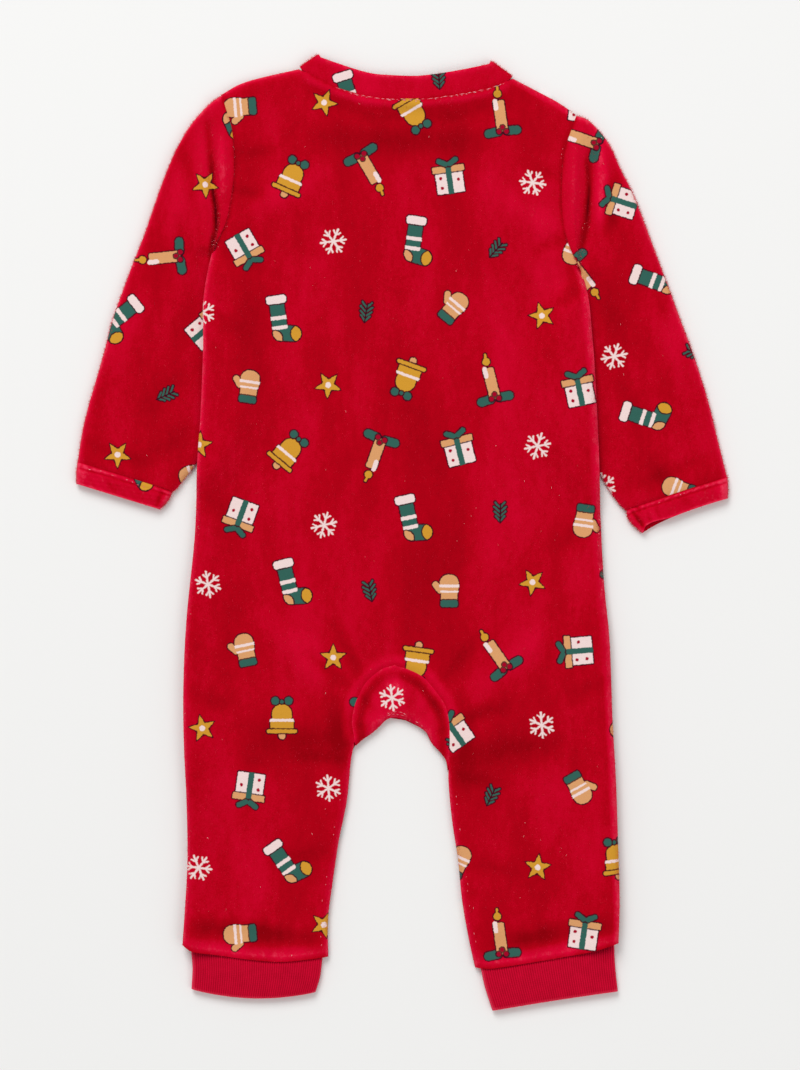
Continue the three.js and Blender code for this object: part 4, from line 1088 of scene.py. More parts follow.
# Placket
# A straight strip of the same velour down the centre front, sewn in between the two fronts. It
# closes with poppers, and has a round hole for each.
POPPER_Y = np.linspace(196, -92, 8)
POPPER_RADIUS = 4.6
PLACKET_END = table("x y", (-7, -111.2), (2, -112.6), (11, -117))
PLACKET_CELLS = 6  # across the strip


def placket_top(x):
    neck_x = np.where(x < CENTRE, LEFT_NECK[0], RIGHT_NECK[0])
    neck_y = np.where(x < CENTRE, LEFT_NECK[1], RIGHT_NECK[1])
    across = np.clip((CENTRE - x) / (CENTRE - neck_x), -1, 1)
    return neck_y - (neck_y - FRONT_NECK_DEPTH) * np.sin(np.arccos(across))


def make_placket():
    x = np.linspace(CENTRE - PLACKET_HALF, CENTRE + PLACKET_HALF, PLACKET_CELLS + 1)
    side = np.linspace(-PLACKET_HALF, PLACKET_HALF, PLACKET_CELLS + 1)[:-1]
    end = np.full_like(side, PLACKET_HALF)
    square = np.concatenate([
        np.stack(edge, axis=-1) for edge in ((side, end), (end, -side), (-side, -end), (-end, side))
    ])
    square = np.concatenate([square, square[:1]])
    hole = square / np.linalg.norm(square, axis=1)[:, None] * (POPPER_RADIUS + SEAM_GAP)
    rings = np.linspace(0, 1, 4)[:, None, None]
    collar = square[None] + (hole - square)[None] * rings
    grids = [(CENTRE + collar[..., 0], y + collar[..., 1]) for y in POPPER_Y]
    edges = [placket_top(x)]
    for y in POPPER_Y:
        edges += [np.full_like(x, y + PLACKET_HALF), np.full_like(x, y - PLACKET_HALF)]
    edges.append(np.interp(x, PLACKET_END["x"], PLACKET_END["y"]))
    for above, below in zip(edges[0::2], edges[1::2]):
        down = np.linspace(0, 1, 5)[:, None]
        grids.append((x[None] + 0 * down, above[None] + (below - above)[None] * down))
    return panel("placket_velour", grids, lambda x, y: 0 * x + VELOUR, lambda x, y: 0 * x)


placket = make_placket()
placket.data.materials.append(VELOUR_PLAIN)
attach(placket, "root")
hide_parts("front_placket")

# Poppers
# Eight caps of painted metal with a low dished face. Each is pressed through its hole in the
# placket, and snaps shut.
POPPER_PROFILE = [
    (0, 0.35), (2.6, 0.35), (3.1, 0.08), (3.9, 0), (4.4, 0.15), (4.6, 0.6), (4.6, 1.6),
    (4.1, 2.3), (3.3, 2.6), (0, 2.6),
]
POPPER_SIDES = 32
POPPER_RED = (0.36, 0.003, 0.014)
POPPER_LIGHT = (0.42, 0.006, 0.02)


def popper_paint():
    material, tree, shader, place = new_material("popper_paint", 0.3)
    tone = tone_noise(tree, place, 700, 2.0)
    tree.links.new(blended(tree, POPPER_RED, POPPER_LIGHT, tone), shader.inputs["Base Color"])
    tree.links.new((tone * 0.12 + 0.3).socket, shader.inputs["Roughness"])
    return material


POPPER_PAINT = popper_paint()


def make_popper(name, y):
    around = np.linspace(0, 2 * np.pi, POPPER_SIDES, endpoint=False)
    points = [(CENTRE, y, POPPER_PROFILE[0][1])]
    for radius, z in POPPER_PROFILE[1:-1]:
        points += [(CENTRE + radius * np.cos(t), y + radius * np.sin(t), z) for t in around]
    points.append((CENTRE, y, POPPER_PROFILE[-1][1]))
    last = len(points) - 1
    faces = []
    for m in range(POPPER_SIDES):
        after = (m + 1) % POPPER_SIDES
        faces.append((0, 1 + after, 1 + m))
        for ring in range(len(POPPER_PROFILE) - 3):
            low, high = 1 + ring * POPPER_SIDES, 1 + (ring + 1) * POPPER_SIDES
            faces.append((low + m, low + after, high + after, high + m))
        faces.append((last - POPPER_SIDES + m, last - POPPER_SIDES + after, last))
    cap = add_object(name, points, faces, [POPPER_PAINT])
    cap.data.shade_smooth()
    return cap


for number, y in enumerate(POPPER_Y, start=1):
    cap = make_popper(f"popper_cap_{number}", y)
    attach(cap, "root")
    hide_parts(f"popper_{number}")

# Gusset
# A crescent of the same velour let in between the legs, padded by the allowance of its seam. Its
# lower edge is turned under and stitched in two rows.
GUSSET_MIDDLE = np.array([0.0, -124.0])
GUSSET_MEET = -0.35  # its edge runs on under the cloth of the back
GUSSET_CELLS = 14  # from the seam to the lower edge
GUSSET_PUCKERS = table(
    FOLD_COLUMNS,
    (-24, -98, -17, -107, 2.4, -0.5), (-15, -88, -10, -101, 3, -0.4),
    (-4, -84, -4, -102, 3.4, 0.45), (9, -90, 5, -104, 2.6, -0.4), (20, -101, 12, -109, 2.6, -0.45),
    (26, -118, 19, -122, 2.2, -0.4), (-27, -116, -20, -116, 2.2, -0.4),
    (-20, -117, -4, -107, 2.2, 0.35), (6, -110, 20, -122, 2.2, 0.3),
    (-7, -85, -3, -97, 3.6, 0.5), (12, -93, 21, -108, 2.4, -0.5), (-19, -98, -25, -114, 2.4, -0.4),
)


def along(points):
    """Share of the way along a line of points at each one of them."""
    steps = np.hypot(*np.diff(points, axis=0).T)
    return np.concatenate([[0], np.cumsum(steps)]) / steps.sum()


GUSSET_HOLLOW = 4.6  # distance from the seam to the trough inside it
HOLLOW_WIDTH = 3.0
HOLLOW_DEPTH = 0.4
# The gusset is lighter all over. Painted shade darkens its trough, and painted highlight lightens its
# lower edge and the raised seam.
HOLLOW_SHADE = 1.15
GUSSET_TONE = 0.55
GUSSET_EDGE_HIGHLIGHT = 0.4
GUSSET_SEAM_HIGHLIGHT = 0.5
GUSSET_SEAM_WIDTH = 1.2
TUCKED_UNDER = 0.07  # how far its edge lies below the cloth of the back
TUCKED_WIDTH = 0.4


def gusset_hollow(x, y):
    """1 along the trough between the raised seam and the padded middle, 0 away from it."""
    away = distance_to([GUSSET_SEAM], x, y) - GUSSET_HOLLOW
    uneven = 0.75 + 0.25 * np.sin(x * 0.21 + 0.7) * np.sin(y * 0.19)
    return uneven * hump(away, HOLLOW_WIDTH)


def gusset_top(x, y):
    share = roll(distance_to([GUSSET_LOWER], x, y) / EDGE_ROLL)
    puckers = fold_height(GUSSET_PUCKERS, x, y) - HOLLOW_DEPTH * gusset_hollow(x, y)
    under = TUCKED_UNDER * hump(distance_to([GUSSET_SEAM], x, y), TUCKED_WIDTH)
    return back_top(x, y) + puckers * share - under


# Tone of the gusset: painted highlight on its edge, seam and raised puckers, painted shade in its trough
# and sunken puckers.
def gusset_tone_and_painted_light(x, y):
    edge = GUSSET_EDGE_HIGHLIGHT * hump(distance_to([GUSSET_LOWER], x, y), EDGE_HIGHLIGHT_WIDTH)
    seam = GUSSET_SEAM_HIGHLIGHT * hump(distance_to([GUSSET_SEAM], x, y), GUSSET_SEAM_WIDTH)
    tone = GUSSET_TONE + edge + seam - HOLLOW_SHADE * gusset_hollow(x, y)
    return tone + 0.9 * fold_height(GUSSET_PUCKERS, x, y)


def make_gusset():
    inward = GUSSET_MIDDLE - GUSSET_SEAM
    upper = GUSSET_SEAM + inward / np.linalg.norm(inward, axis=1)[:, None] * GUSSET_MEET
    share = along(GUSSET_LOWER)
    place = along(upper)
    lower = np.stack([
        smooth_at({"s": share, "v": GUSSET_LOWER[:, axis]}, "s", "v", place) for axis in (0, 1)
    ], axis=-1)
    down = np.linspace(0, 1, GUSSET_CELLS + 1)[:, None, None]
    points = upper[None] + (lower - upper)[None] * down
    return panel("gusset_velour", [(points[..., 0], points[..., 1])], gusset_top, back_bottom,
                 gusset_tone_and_painted_light)


gusset = make_gusset()
lay_print(gusset, origin=(-6, -99), turn=25, first=5)
gusset_pile = loose_pile(gusset)
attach(gusset, "root")
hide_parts("crotch_gusset")

# Sleeves
# Long set-in sleeves, each a tube closed under the arm. They are tucked under the sides of the
# body, so a crease runs down beside each armhole.
SLEEVE_CLOTH = 1.5
ARMHOLE_PULL = 0.5  # how far the armhole seam pulls the sleeve down
SLEEVE_COLUMNS = "out_x out_y in_x in_y bow top"
LEFT_SLEEVE = table(
    SLEEVE_COLUMNS,
    (-108.4, 262.1, -113, 172, 0, 5.3), (-113.6, 258.2, -113, 169.4, 7, 6.3),
    (-119.6, 252.6, -113, 166, 3, 4.1), (-127, 243.6, -113.4, 161, 1, 5),
    (-135, 230, -114.4, 153.5, 0, 5.6), (-142, 213.5, -114, 143, 0, 5.6),
    (-148.2, 196.5, -110, 128.5, 0, 5.4), (-154.4, 178.5, -105, 113, 0, 5.2),
    (-161.5, 160.5, -103.2, 97, 0, 5.2), (-167.8, 143.5, -105.6, 79, 0, 5.3),
    (-173.6, 127, -111, 64, 0, 5.3), (-178, 110, -118, 50, 0, 5.2),
    (-182.8, 93, -124.6, 39.5, 0, 5), (-187.6, 77, -130.8, 31.6, 0, 4.9),
    (-191.6, 60, -134.8, 26.6, 0, 4.8), (-194.4, 42.2, -137.4, 24.2, 1, 4.5),
)
RIGHT_SLEEVE = table(
    SLEEVE_COLUMNS,
    (105, 249.8, 107.9, 157.4, 0, 5.3), (110.4, 247.6, 107.4, 154.6, -6, 6.2),
    (117.4, 241.6, 107.6, 151, -2, 4.3), (124.5, 232, 108, 146, -1, 5.2),
    (131, 217.6, 108.8, 139.5, 0, 5.8), (137.4, 205, 108.6, 130.5, 0, 5.6),
    (143, 191.5, 106, 118.5, 0, 5.4), (148.6, 176.5, 103.2, 104, 0, 5.2),
    (154.8, 160, 100.7, 89, 0, 5.2), (161, 143.5, 102.2, 73, 0, 5.3),
    (167, 127, 106.8, 58.5, 0, 5.3), (173, 111, 112.8, 45, 0, 5.2),
    (178.6, 94.5, 119.2, 34, 0, 5), (183.9, 77, 124.8, 24.4, 0, 4.9),
    (188.8, 57, 130.2, 17, 0, 4.8), (194.8, 33.2, 134.2, 13.2, -1, 4.5),
)
TUCKED_TOP = 3.45  # of the sleeve where it lies under the body
RISING_WIDTH = 14.0
SECTION_STEP = 5.5  # rough length of sleeve between its first sections
WRIST_STEP = 15.0  # the same before the wrist
WRIST_PULL = 0.7  # how far the wrist seam pulls the sleeve down
SLEEVE_ROLL = 4.5
ARMHOLE_MEET = -0.1  # the sleeve runs in under the edge of the body
CROWDING = 0.135  # how much closer the points of a tube are at its edges
SLEEVE_CREASES = table(
    FOLD_COLUMNS,
    (-116.6, 245, -114.6, 226, 1.8, -1.2), (-114.6, 226, -113.6, 206, 1.6, -2.4),
    (-113.6, 206, -111.6, 194, 1.5, -2.6), (-111.6, 194, -111.2, 182, 1.5, -2.6),
    (-111.4, 182, -115, 164, 1.5, -1.9), (-121, 238, -119.6, 200, 4.5, 0.6),
    (-108.4, 236, -107.6, 204, 3.0, 1.0),
    (113, 228, 112.4, 206, 2.2, -1.7), (112.4, 206, 111, 190, 2.1, -1.7),
    (111, 190, 107.6, 170, 2.0, -1.5), (116.4, 238, 121.8, 214, 3, 0.9),
    (121.8, 214, 119, 188, 3, 0.9), (102.5, 232, 102, 184, 3.2, 0.5),
    (127, 214, 124, 180, 4, -0.7), (-128, 214, -140, 176, 5, 0.5), (-132, 232, -126, 206, 4, -0.5),
    (-150, 150, -168, 104, 7, 0.6), (-130, 96, -150, 74, 6, -0.5), (-124, 140, -134, 110, 7, -0.5),
    (136, 196, 150, 158, 6, 0.5), (146, 140, 168, 92, 7, 0.6), (128, 92, 146, 62, 6, -0.5),
    (120, 146, 136, 108, 7, -0.6), (-186, 52, -150, 40, 4, -0.5), (140, 28, 182, 44, 4, -0.5),
)
# Lighter and darker patches on the sleeves: brushed pile, painted highlight on the fronts, and painted
# shade down the crease beside each armhole.
SLEEVE_NAP_AND_PAINTED_LIGHT = table(
    FOLD_COLUMNS,
    (-113.8, 221, -113.6, 206, 1.1, -0.7), (-113.6, 206, -111.8, 194, 1.2, -1.5),
    (-111.8, 194, -111.2, 182, 1.2, -1.4), (-111.4, 182, -115.4, 166, 1.2, -1.0),
    (-104.8, 236, -104.2, 206, 2.2, 0.15), (-130, 226, -141, 196, 5, 0.3),
    (-170, 130, -180, 92, 4, 0.3), (-146, 176, -150, 120, 7, -0.35), (-128, 60, -158, 44, 7, -0.4),
    (110, 224, 112.2, 208, 1.3, -0.8), (112.2, 208, 110.6, 184, 1.3, -1.6),
    (110.6, 184, 107.8, 170, 1.3, -0.7), (104.2, 236, 103, 190, 3, 0.1),
    (118, 228, 119, 184, 2.4, 0.5), (126.6, 206, 125, 184, 4, -0.5), (136, 214, 150, 176, 3.2, 0.4),
    (160, 140, 178, 92, 5, 0.4), (146, 120, 168, 60, 7, -0.35), (176, 70, 182, 46, 6, 0.35),
    (150, 42, 160, 26, 5, -0.5),
)


def tube_shares(steps):
    """Places across a flattened tube, closer together towards its two rolled edges."""
    even = np.linspace(0, 1, steps + 1)
    return even - CROWDING * np.sin(2 * np.pi * even)


def tube(name, sections, fine, place, top_at, wall, roll_width, across, nap_and_painted_light, bottom_at=None):
    """A flattened tube of cloth through sections, which place and top_at give by section and share."""
    count = len(sections["out_x"]) - 1
    k = np.linspace(0, count, count * fine + 1)
    rows = {column: smooth_at({"k": np.arange(count + 1.0), "v": v}, "k", "v", k)
            for column, v in sections.items()}
    width = np.hypot(rows["in_x"] - rows["out_x"], rows["in_y"] - rows["out_y"])[:, None]
    share = np.concatenate([across, across[-2:0:-1]])[None, :] * np.ones_like(width)
    upper = (np.arange(share.shape[1]) < len(across))[None, :]

    def ring(share, bottom, top, inset):
        x, y = place(rows, k, share, upper)
        away = np.minimum(share, 1 - share) * width - inset
        rounded = roll(away / (roll_width - inset))
        level = (top + bottom) / 2
        return np.stack([x, y, level + (np.where(upper, top, bottom) - level) * rounded], axis=-1)

    top = top_at(rows, k, share, upper)
    bottom = bottom_at(k, share) if bottom_at else 0.0
    inset_share = (wall + share * (width - 2 * wall)) / width
    outer = ring(share, bottom, top, 0.0)
    inner = ring(inset_share, wall, np.maximum(top - wall, wall + LEAST_AIR), wall)
    around = share.shape[1]
    i, j = np.mgrid[0:len(k) - 1, 0:around]
    a, b = (i * around + j).ravel(), (i * around + (j + 1) % around).ravel()
    cells = np.stack([a, a + around, b + around, b], axis=-1)
    # Painted highlight along both rolled edges of the tube, stronger along the outer one.
    edge = edge_highlight(share * width) + 0.5 * edge_highlight((1 - share) * width)
    tone = edge + nap_and_painted_light(k, outer[..., 0], outer[..., 1])
    piece = cloth_object(name, outer.reshape(-1, 3), inner.reshape(-1, 3), cells, tone.ravel())
    outward(piece)
    return piece


def between(rows, share):
    """Points on straight lines across a tube, and how far the line bows out at each."""
    x = rows["out_x"][:, None] + (rows["in_x"] - rows["out_x"])[:, None] * share
    y = rows["out_y"][:, None] + (rows["in_y"] - rows["out_y"])[:, None] * share
    return x, y, rows["bow"][:, None] * 4 * share * (1 - share)


def first_section(sections, column, share):
    """One coordinate along the first section, x or y, at a share of the way across."""
    start, end = sections["out_" + column][0], sections["in_" + column][0]
    return start + (end - start) * share


def make_sleeve(name, sections, side, underarm, sign):
    def place(rows, k, share, upper):
        x, y, bow = between(rows, share)
        seam_y = first_section(sections, "y", share)
        seam_x = smooth_at(side, "y", "x", seam_y) + sign * ARMHOLE_MEET
        near_seam = 1 - smooth(k)[:, None]
        return x + bow + (seam_x - first_section(sections, "x", share)) * near_seam, y

    def top_at(rows, k, share, upper):
        x, y = place(rows, k, share, upper)
        top = rows["top"][:, None] * np.ones_like(share)
        outside = sign * (x - smooth_at(side, "y", "x", y))
        tucked = TUCKED_TOP + (top - TUCKED_TOP) * smooth((outside - 2) / RISING_WIDTH)
        by_body = smooth((underarm - y) / 6) * smooth((k[:, None] - 2) / 1)
        top = top + (tucked - top) * by_body
        free = smooth(outside / 3) * smooth((k[:, None] - 0.3) / 0.5)
        seam = ARMHOLE_PULL * hump(k[:, None] * SECTION_STEP, GROOVE_WIDTH)
        wrist = WRIST_PULL * hump((k[-1] - k[:, None]) * WRIST_STEP, 1.6)
        creased = fold_height(SLEEVE_CREASES, x, y) * free
        return np.maximum(top + creased - seam - wrist, TUCKED_TOP - 0.1)

    # Tone of a sleeve: painted shade in its creases and at the armhole seam, painted highlight on ridges
    # and on the sleeve head, and patches of brushed pile.
    def nap_and_painted_light(k, x, y):
        seam = hump(k[:, None] * SECTION_STEP, GROOVE_WIDTH)
        head_highlight = 0.35 * smooth(1 - (k[:, None] - 2) / 2)
        creased = 0.6 * fold_height(SLEEVE_CREASES, x, y) + fold_height(SLEEVE_NAP_AND_PAINTED_LIGHT, x, y)
        return creased - 0.9 * seam + head_highlight

    return tube(name, sections, 2 * FINE, place, top_at, SLEEVE_CLOTH, SLEEVE_ROLL,
                tube_shares(12 * FINE), nap_and_painted_light)


sleeve_left = make_sleeve("sleeve_left_velour", LEFT_SLEEVE, LEFT_SIDE, LEFT_UNDERARM, -1)
sleeve_right = make_sleeve("sleeve_right_velour", RIGHT_SLEEVE, RIGHT_SIDE, RIGHT_UNDERARM, 1)
lay_print(sleeve_left, origin=(-168, 128), turn=-64)
lay_print(sleeve_right, origin=(152, 152), turn=58)
for piece, node in ((sleeve_left, "sleeve_left"), (sleeve_right, "sleeve_right")):
    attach(piece, "root")
    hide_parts(node)
    loose_pile(piece)

# Wrist bands
# Narrow hem bands of the same velour, one round the end of each sleeve. They are folded to the
# inside and topstitched.
BAND_CLOTH = 1.9
BAND_ROLL = 3.4
BAND_MEET = 0.9  # the band runs on under the end of the sleeve
MOUTH_FROM = 0.5  # share of the way across where the mouth begins to open
MOUTH_RISE = 0.38
MOUTH_END = 0.07
BAND_SEWN = 0.42  # how far down the band its topstitching is, in sections
BAND_RIDGE = 0.2  # where the painted highlight on the puffed ridge above the topstitching lies
STITCH_WIDTH = 0.12
PUCKER_WAVES = 190  # radians of puckers across the band
BAND_COLUMNS = SLEEVE_COLUMNS + " open"
LEFT_BAND = table(
    BAND_COLUMNS,
    (-194.6, 41.6, -137.8, 23.6, 1, 4.7, 0), (-195.2, 35.4, -140, 19.4, 1, 5, 0),
    (-195.2, 29.2, -145.2, 13.8, 0, 4.6, 0),
)
RIGHT_BAND = table(
    BAND_COLUMNS,
    (195, 32.6, 134.4, 12.6, -1, 4.7, 0), (195.4, 26.6, 136.4, 6.8, -3, 5, 0.8),
    (195.2, 20.4, 144, -0.4, -5.6, 4.6, 3.0),
)
BAND_CREASES = table(
    FOLD_COLUMNS,
    (139, 19, 146.5, 4, 1.6, -1.3), (143, 13, 150, 8, 3, 0.6), (-144, 24, -147, 16, 1.3, -0.9),
    (-140.5, 22.5, -143.5, 17, 1.2, 0.7), (191, 31, 192.5, 22, 1.6, 0.6),
    (138.5, 12, 145, 2.5, 1.0, -1.5), (141.5, 13, 147.5, 3.5, 1.0, 1.0),
    (145, 14.5, 150, 5, 1.1, -1.0), (152, 16, 154, 9, 1.4, -0.4),
    (-190, 40, -191.5, 31, 1.6, 0.5), (-176, 30, -172, 26, 2.2, -0.4), (168, 20, 172, 16, 2.4, -0.4),
)


def make_band(name, sections):
    def place(rows, k, share, upper):
        x, y, bow = between(rows, share)
        opened = smooth((share - MOUTH_FROM) / MOUTH_RISE) * smooth((1 - share) / MOUTH_END)
        drawn_back = np.where(upper, rows["open"][:, None] * opened, 0)
        under_sleeve = BAND_MEET * smooth(1 - k[:, None] / 0.4)
        return x + bow, y + drawn_back + under_sleeve

    def top_at(rows, k, share, upper):
        x, y = place(rows, k, share, upper)
        down = k[:, None]
        stitch = 0.3 * hump(down - BAND_SEWN, STITCH_WIDTH)
        seam = 0.45 * hump(down, STITCH_WIDTH)
        puckers = 0.14 * np.sin(share * PUCKER_WAVES) * hump(down - 0.22, 0.2)
        creased = 0.5 * fold_height(BAND_CREASES, x, y) * smooth((k[-1] - down) / 0.3)
        return rows["top"][:, None] - stitch - seam + puckers + creased

    # Tone of a band: painted shade at the seam and the topstitching, painted highlight on the puffed
    # ridge and along the folded lower edge, painted shade and highlight on the creases, over an uneven
    # tufted tone that is lighter towards the outer side.
    def nap_and_painted_light(k, x, y):
        down = k[:, None]
        stitch_shade = 0.5 * hump(down - BAND_SEWN, STITCH_WIDTH) + hump(down, 0.07)
        tufted = np.sin(x * 0.9 + y * 1.7) * np.sin(x * 0.43 - y * 0.8)
        ridge = (0.55 + 0.3 * tufted) * hump(down - BAND_RIDGE, STITCH_WIDTH)
        rim = 0.9 * hump(k[-1] - down, 0.16)
        outer_side = 0.25 * smooth((abs(x) - 165) / 25)
        plain = 0.4 + 0.15 * tufted + fold_height(BAND_CREASES, x, y)
        return plain + ridge + rim + outer_side - stitch_shade

    return tube(name, sections, 4 * FINE, place, top_at, BAND_CLOTH, BAND_ROLL,
                tube_shares(12 * FINE), nap_and_painted_light)


band_left = make_band("wrist_band_left_velour", LEFT_BAND)
band_right = make_band("wrist_band_right_velour", RIGHT_BAND)
lay_print(band_left, origin=(-150, 40), turn=-64)
lay_print(band_right, origin=(188, 44), turn=58)
for piece, node in ((band_left, "wrist_band_left"), (band_right, "wrist_band_right")):
    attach(piece, "root")
    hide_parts(node)
    loose_pile(piece)

# Neckband
# A strip of the same velour, folded in half along its length. It runs from the centre front, over
# the fold beside the neck, along the back neck and down the other side to the centre front.
BAND_WIDTH = 13.2
BAND_THICK = 2.2
FRONT_LEVEL = 1.1
BACK_LEVEL = 4.3
NECK_MEET = -0.25  # the strip runs on under the edge of the neck
LEAN_REACH = 0.8  # radians of the front curve over which the strip leans to meet the fold
FOLD_CELLS = 2 * FINE
NECKBAND_TOP = table(
    "x y",
    (-48.6, 284.6), (-40.2, 281.6), (-25.8, 276.9), (-16.2, 274.7), (-4, 273.8), (8, 273.5),
    (18, 274.4), (31.2, 276.4), (42.6, 278.6), (52, 280.6),
)
LEFT_FOLD = (-59.9, 277.1)  # seam end of the fold beside the neck
RIGHT_FOLD = (64.7, 271.5)


def front_rungs(neck, seam, free):
    """Rungs across the strip: seam x y, free x y, level, and which way the outer face looks."""
    sign = np.sign(CENTRE - neck[0])
    tilt = np.arctan2(free[1] - seam[1], sign * (free[0] - seam[0]))
    angle = placket_angle(neck) * np.linspace(0.2, 1, 5 * FINE)
    lean = angle + tilt * np.maximum(0, 1 - angle / LEAN_REACH)
    way_x, way_y = sign * np.cos(lean), np.sin(lean)
    x, y = front_neck_at(neck, angle)
    seam_x, seam_y = x + way_x * NECK_MEET, y + way_y * NECK_MEET
    zero = np.zeros_like(angle)
    rungs = np.stack([seam_x, seam_y, seam_x + way_x * BAND_WIDTH, seam_y + way_y * BAND_WIDTH,
                      zero + FRONT_LEVEL, zero, zero, zero - 1], axis=-1)
    end_x, end_y = CENTRE - sign * SEAM_GAP * 0.6, FRONT_NECK_DEPTH + NECK_MEET
    end = [end_x, end_y, end_x, end_y + BAND_WIDTH, FRONT_LEVEL, 0, 0, -1]
    return np.vstack([rungs, end])


def fold_rungs(seam, free, sign):
    step = np.array(free) - np.array(seam)
    step = step / np.linalg.norm(step)
    angle = np.linspace(-np.pi / 2, np.pi / 2, FOLD_CELLS + 1)
    radius, level = (BACK_LEVEL - FRONT_LEVEL) / 2, (BACK_LEVEL + FRONT_LEVEL) / 2
    out_x, out_y = -sign * step[1] * np.cos(angle), sign * step[0] * np.cos(angle)
    return np.stack([
        seam[0] + out_x * radius, seam[1] + out_y * radius, free[0] + out_x * radius,
        free[1] + out_y * radius, level + radius * np.sin(angle), out_x, out_y, np.sin(angle),
    ], axis=-1)


def back_rungs():
    share = np.linspace(0, 1, 10 * FINE + 1)[1:-1]
    seam_x = np.interp(share, [0, 0.1, 0.9, 1], [LEFT_FOLD[0], -49.2, 53.7, RIGHT_FOLD[0]])
    settle = 0.4 * np.clip(1 - np.minimum(share, 1 - share) * 10, 0, 1)
    seam_y = smooth_at(BACK_NECK, "x", "y", seam_x) + NECK_MEET + settle
    free_x = NECKBAND_TOP["x"][0] + (NECKBAND_TOP["x"][-1] - NECKBAND_TOP["x"][0]) * share
    free_y = smooth_at(NECKBAND_TOP, "x", "y", free_x)
    zero = np.zeros_like(share)
    level = BACK_LEVEL + 0.16 * np.sin(share * 17) * np.sin(np.pi * share)
    return np.stack([seam_x, seam_y, free_x, free_y, level, zero, zero, zero + 1], axis=-1)


def make_neckband():
    left_free = (NECKBAND_TOP["x"][0], NECKBAND_TOP["y"][0])
    right_free = (NECKBAND_TOP["x"][-1], NECKBAND_TOP["y"][-1])
    rungs = np.vstack([
        front_rungs(LEFT_NECK, LEFT_FOLD, left_free)[::-1],
        fold_rungs(LEFT_FOLD, left_free, 1),
        back_rungs(),
        fold_rungs(RIGHT_FOLD, right_free, -1)[::-1],
        front_rungs(RIGHT_NECK, RIGHT_FOLD, right_free),
    ])
    share = tube_shares(4 * FINE)
    seam, free = rungs[:, None, 0:2], rungs[:, None, 2:4]
    flat = seam + (free - seam) * share[None, :, None]
    level = np.broadcast_to(rungs[:, None, 4:5], flat.shape[:2] + (1,))
    middle = np.concatenate([flat, level], axis=-1)
    from_seam, from_free = share * BAND_WIDTH, (1 - share) * BAND_WIDTH
    swell = 0.45 + 0.55 * roll(from_free / 2.0) - 0.25 * hump(from_seam, 1.3)
    reach = BAND_THICK / 2 * swell[None, :, None]
    outer, inner = middle + rungs[:, None, 5:8] * reach, middle - rungs[:, None, 5:8] * reach
    cells = grid_cells(len(rungs) - 1, len(share) - 1)
    # Lighter pile all along, painted highlight along the free edge, and painted shade beside the seam.
    neck_tone_and_painted_light = 0.25 + EDGE_HIGHLIGHT * hump(from_free, EDGE_HIGHLIGHT_WIDTH) - 0.1 * hump(from_seam, 1.0)
    tone = np.broadcast_to(neck_tone_and_painted_light, flat.shape[:2]).ravel()
    piece = cloth_object("neckband_velour", outer.reshape(-1, 3), inner.reshape(-1, 3), cells, tone)
    outward(piece)
    return piece


neckband = make_neckband()
lay_print(neckband, origin=(-30, 262), turn=6)
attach(neckband, "root")
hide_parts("neckband")
loose_pile(neckband)

# Ankle cuffs
# Cuffs of fine knitted cotton rib, one round the end of each leg. They are folded double and sewn
# to the legs, which are a little wider.
RIB_COUNT = 58
RIB_DEPTH = 0.4
RIB_CLOTH = 1.9
RIB_ROLL = 3.6
RIB_POINTS = 8  # across each rib
LEFT_CUFF = table(
    SLEEVE_COLUMNS,
    (-126.4, -250.9, -47.6, -255.3, 0, 4.7), (-125.6, -261, -49, -266, -2.4, 4.9),
    (-126.2, -273.6, -51.8, -275.4, -4.6, 4.5),
)
RIGHT_CUFF = table(
    SLEEVE_COLUMNS,
    (47.2, -261.6, 127.2, -246.9, 0, 4.7), (49.6, -272.4, 127.8, -260, 0.6, 4.9),
    (54.2, -286.6, 129.4, -275, 0.4, 4.5),
)
CUFF_MEET = 0.2
RIB_RED = (0.66, 0.0015, 0.034)
# The darker rib, partly painted shade between the ribs, and a pinkish painted highlight for the fold.
RIB_SHADE = (0.40, 0.0, 0.013)
RIB_RIM_HIGHLIGHT = (0.80, 0.05, 0.11)
RIB_SHEEN = (0.15, (1.0, 0.2, 0.3))


def rib_material():
    """Matt cotton rib: raised lines of stitches with painted shade between them, and a painted highlight
    at the fold.
    """
    material, tree, shader, place = new_material("cotton_rib", 0.93, None, RIB_SHEEN, 0.04)
    across, down = flat_place(tree, "ribs")
    crest = (across * (2 * np.pi)).op("COSINE") * -0.5 + 0.5
    loops = (down * (2 * np.pi)).op("SINE") * 0.5 + 0.5
    tone = tone_noise(tree, place, 160, 4.0)
    fuzz = tone_noise(tree, place, 1800, 2.0)
    shade = ((crest * -1.0 + 1.0) * 0.75 + (tone - 0.5) * 0.7 + loops * 0.12 + (fuzz - 0.5) * 0.4)
    colour = blended(tree, RIB_RED, RIB_SHADE, shade.clamp())
    # Painted highlight along the folded lower edge.
    rim = ((attribute(tree, "nap_and_painted_light") - 0.35) * 0.7).clamp(high=0.6)
    tree.links.new(blended(tree, colour, RIB_RIM_HIGHLIGHT, rim), shader.inputs["Base Color"])
    raise_pile(tree, shader, crest * 0.8 + loops * 0.4 + fuzz * 0.5, 0.6, 0.0003)
    return material


COTTON_RIB = rib_material()
RIB_LOOPS = 22  # courses of knitting down a cuff
CUFF_SEAM = 0.8  # how far the seam pulls the cuff down
CUFF_FOLD = 0.3  # how far its folded edge is rounded off
CUFF_STEP = 12.0  # rough length of cuff between its sections
CUFF_TOP_STEP = 11.0  # the same next to the seam
CUFF_RIM_HIGHLIGHT = 1.1


